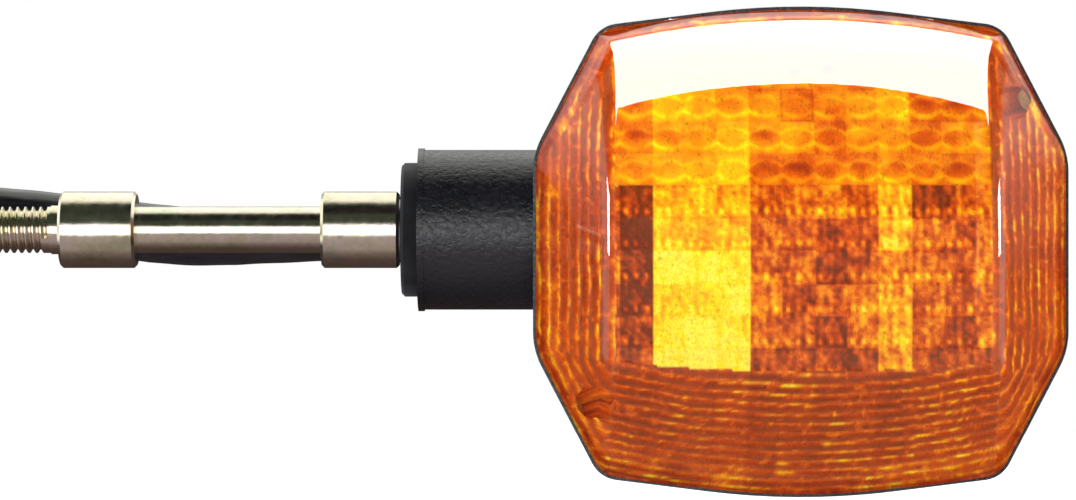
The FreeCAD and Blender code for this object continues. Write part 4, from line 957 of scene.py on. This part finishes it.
def build_world():
    """White to the camera, even fill for matt surfaces, and a banded studio for reflections."""
    world = bpy.data.worlds.new("studio")
    bpy.context.scene.world = world
    world.use_nodes = True
    sky = Network(world.node_tree)
    split = sky.nodes.new("ShaderNodeSeparateXYZ")
    sky.links.new(sky.nodes.new("ShaderNodeTexCoord").outputs["Generated"], split.inputs[0])
    towards_camera = sky.math("MULTIPLY", split.outputs["Y"], -1.0)
    turn = sky.math("ARCTAN2", split.outputs["Z"], towards_camera)
    ring = sky.ramp(sky.span(turn, -math.pi, math.pi), STUDIO_RING)
    sideways = sky.math("ABSOLUTE", split.outputs["X"])
    walled = sky.mix(sky.span(sideways, SIDE_WALL_FROM, SIDE_WALL_FULL), ring, SIDE_WALL)
    path = sky.nodes.new("ShaderNodeLightPath")
    lit = sky.mix(path.outputs["Is Glossy Ray"], STUDIO_FILL, walled)
    seen = sky.mix(path.outputs["Is Camera Ray"], lit, WHITE)
    sky.links.new(seen, sky.nodes["Background"].inputs["Color"])


def build_camera():
    """A long lens, level with the lamp and square to the stem."""
    left_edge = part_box("outer_collar")[0].x / MM - LEFT_MARGIN
    data = bpy.data.cameras.new("camera")
    data.sensor_width = SENSOR_WIDTH
    data.lens = SENSOR_WIDTH * CAMERA_DISTANCE / FRAMED_LENGTH
    data.clip_start = 0.01
    data.clip_end = 10.0
    camera = add_object("camera", data)
    camera.location = Vector((left_edge + FRAMED_LENGTH / 2, -CAMERA_DISTANCE, CAMERA_Z)) * MM
    camera.rotation_euler = (math.radians(90), 0, 0)
    bpy.context.scene.camera = camera


def arched_sheet(receivers):
    """The overhead white sheet that the lens mirrors; its front edge is cut in an arch."""
    vertices = []
    for step in range(SHEET_STEPS + 1):
        offset = SHEET_HALF_WIDTH * (2 * step / SHEET_STEPS - 1)
        front = SHEET_FRONT - SHEET_ARCH * (offset / ARCH_SPAN) ** 2
        vertices += [(SHEET_X + offset, SHEET_BACK, SHEET_Z), (SHEET_X + offset, front, SHEET_Z)]
    faces = [(2 * k, 2 * k + 1, 2 * k + 3, 2 * k + 2) for k in range(SHEET_STEPS)]
    s = Surface("reflector_sheet", roughness=1.0)
    streaks = s.noise((0.002, 0.03, 0.002), detail=4.0, rough=0.6)
    s.set("Base Color", (0.0, 0.0, 0.0))
    s.set("Emission Color", s.ramp(streaks, [(0.35, (1.0, 0.93, 0.90)), (0.65, WHITE)]))
    s.set("Emission Strength", SHEET_GLOW)
    sheet = mesh_object("reflector_sheet", vertices, faces, s.material)
    for flag in ("visible_camera", "visible_diffuse", "visible_transmission", "visible_shadow"):
        setattr(sheet, flag, False)
    sheet.light_linking.receiver_collection = receivers


def receiver_group(name, objects):
    """A collection that a light is linked to, so that it lights nothing else."""
    collection = bpy.data.collections.new(name)
    for obj in objects:
        collection.objects.link(obj)
    return collection


def build_lights(lens):
    """The lens's own overhead sheet and edge glints, a card for the stem, and a room light."""
    lens_only = receiver_group("lens_only", [lens])
    arched_sheet(lens_only)
    for name, glint in (("left_glint", LEFT_GLINT), ("right_glint", RIGHT_GLINT)):
        soft_box(name, *glint).light_linking.receiver_collection = lens_only
    dark_parts = receiver_group("stem_and_housing", [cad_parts[name] for name in CARD_LIT_NODES])
    soft_box("stem_card", *STEM_CARD).light_linking.receiver_collection = dark_parts
    soft_box("room_light", *ROOM_LIGHT).visible_glossy = False


def render_settings():
    """Enough bounces for light to find its way through the lens, and plain display colours."""
    scene = bpy.context.scene
    scene.view_settings.view_transform = "Standard"
    scene.cycles.max_bounces = 24
    scene.cycles.transmission_bounces = 20
    scene.cycles.glossy_bounces = 10
    scene.cycles.diffuse_bounces = 4
    scene.cycles.transparent_max_bounces = 8
    scene.cycles.caustics_reflective = True
    scene.cycles.caustics_refractive = True
    scene.cycles.sample_clamp_indirect = 8.0
    scene.cycles.use_denoising = True


finish_nodes()
lens = build_lens()
build_wires()
build_sleeve()
build_rubber()
build_spring()
build_stage()
build_world()
build_lights(lens)
build_camera()
render_settings()
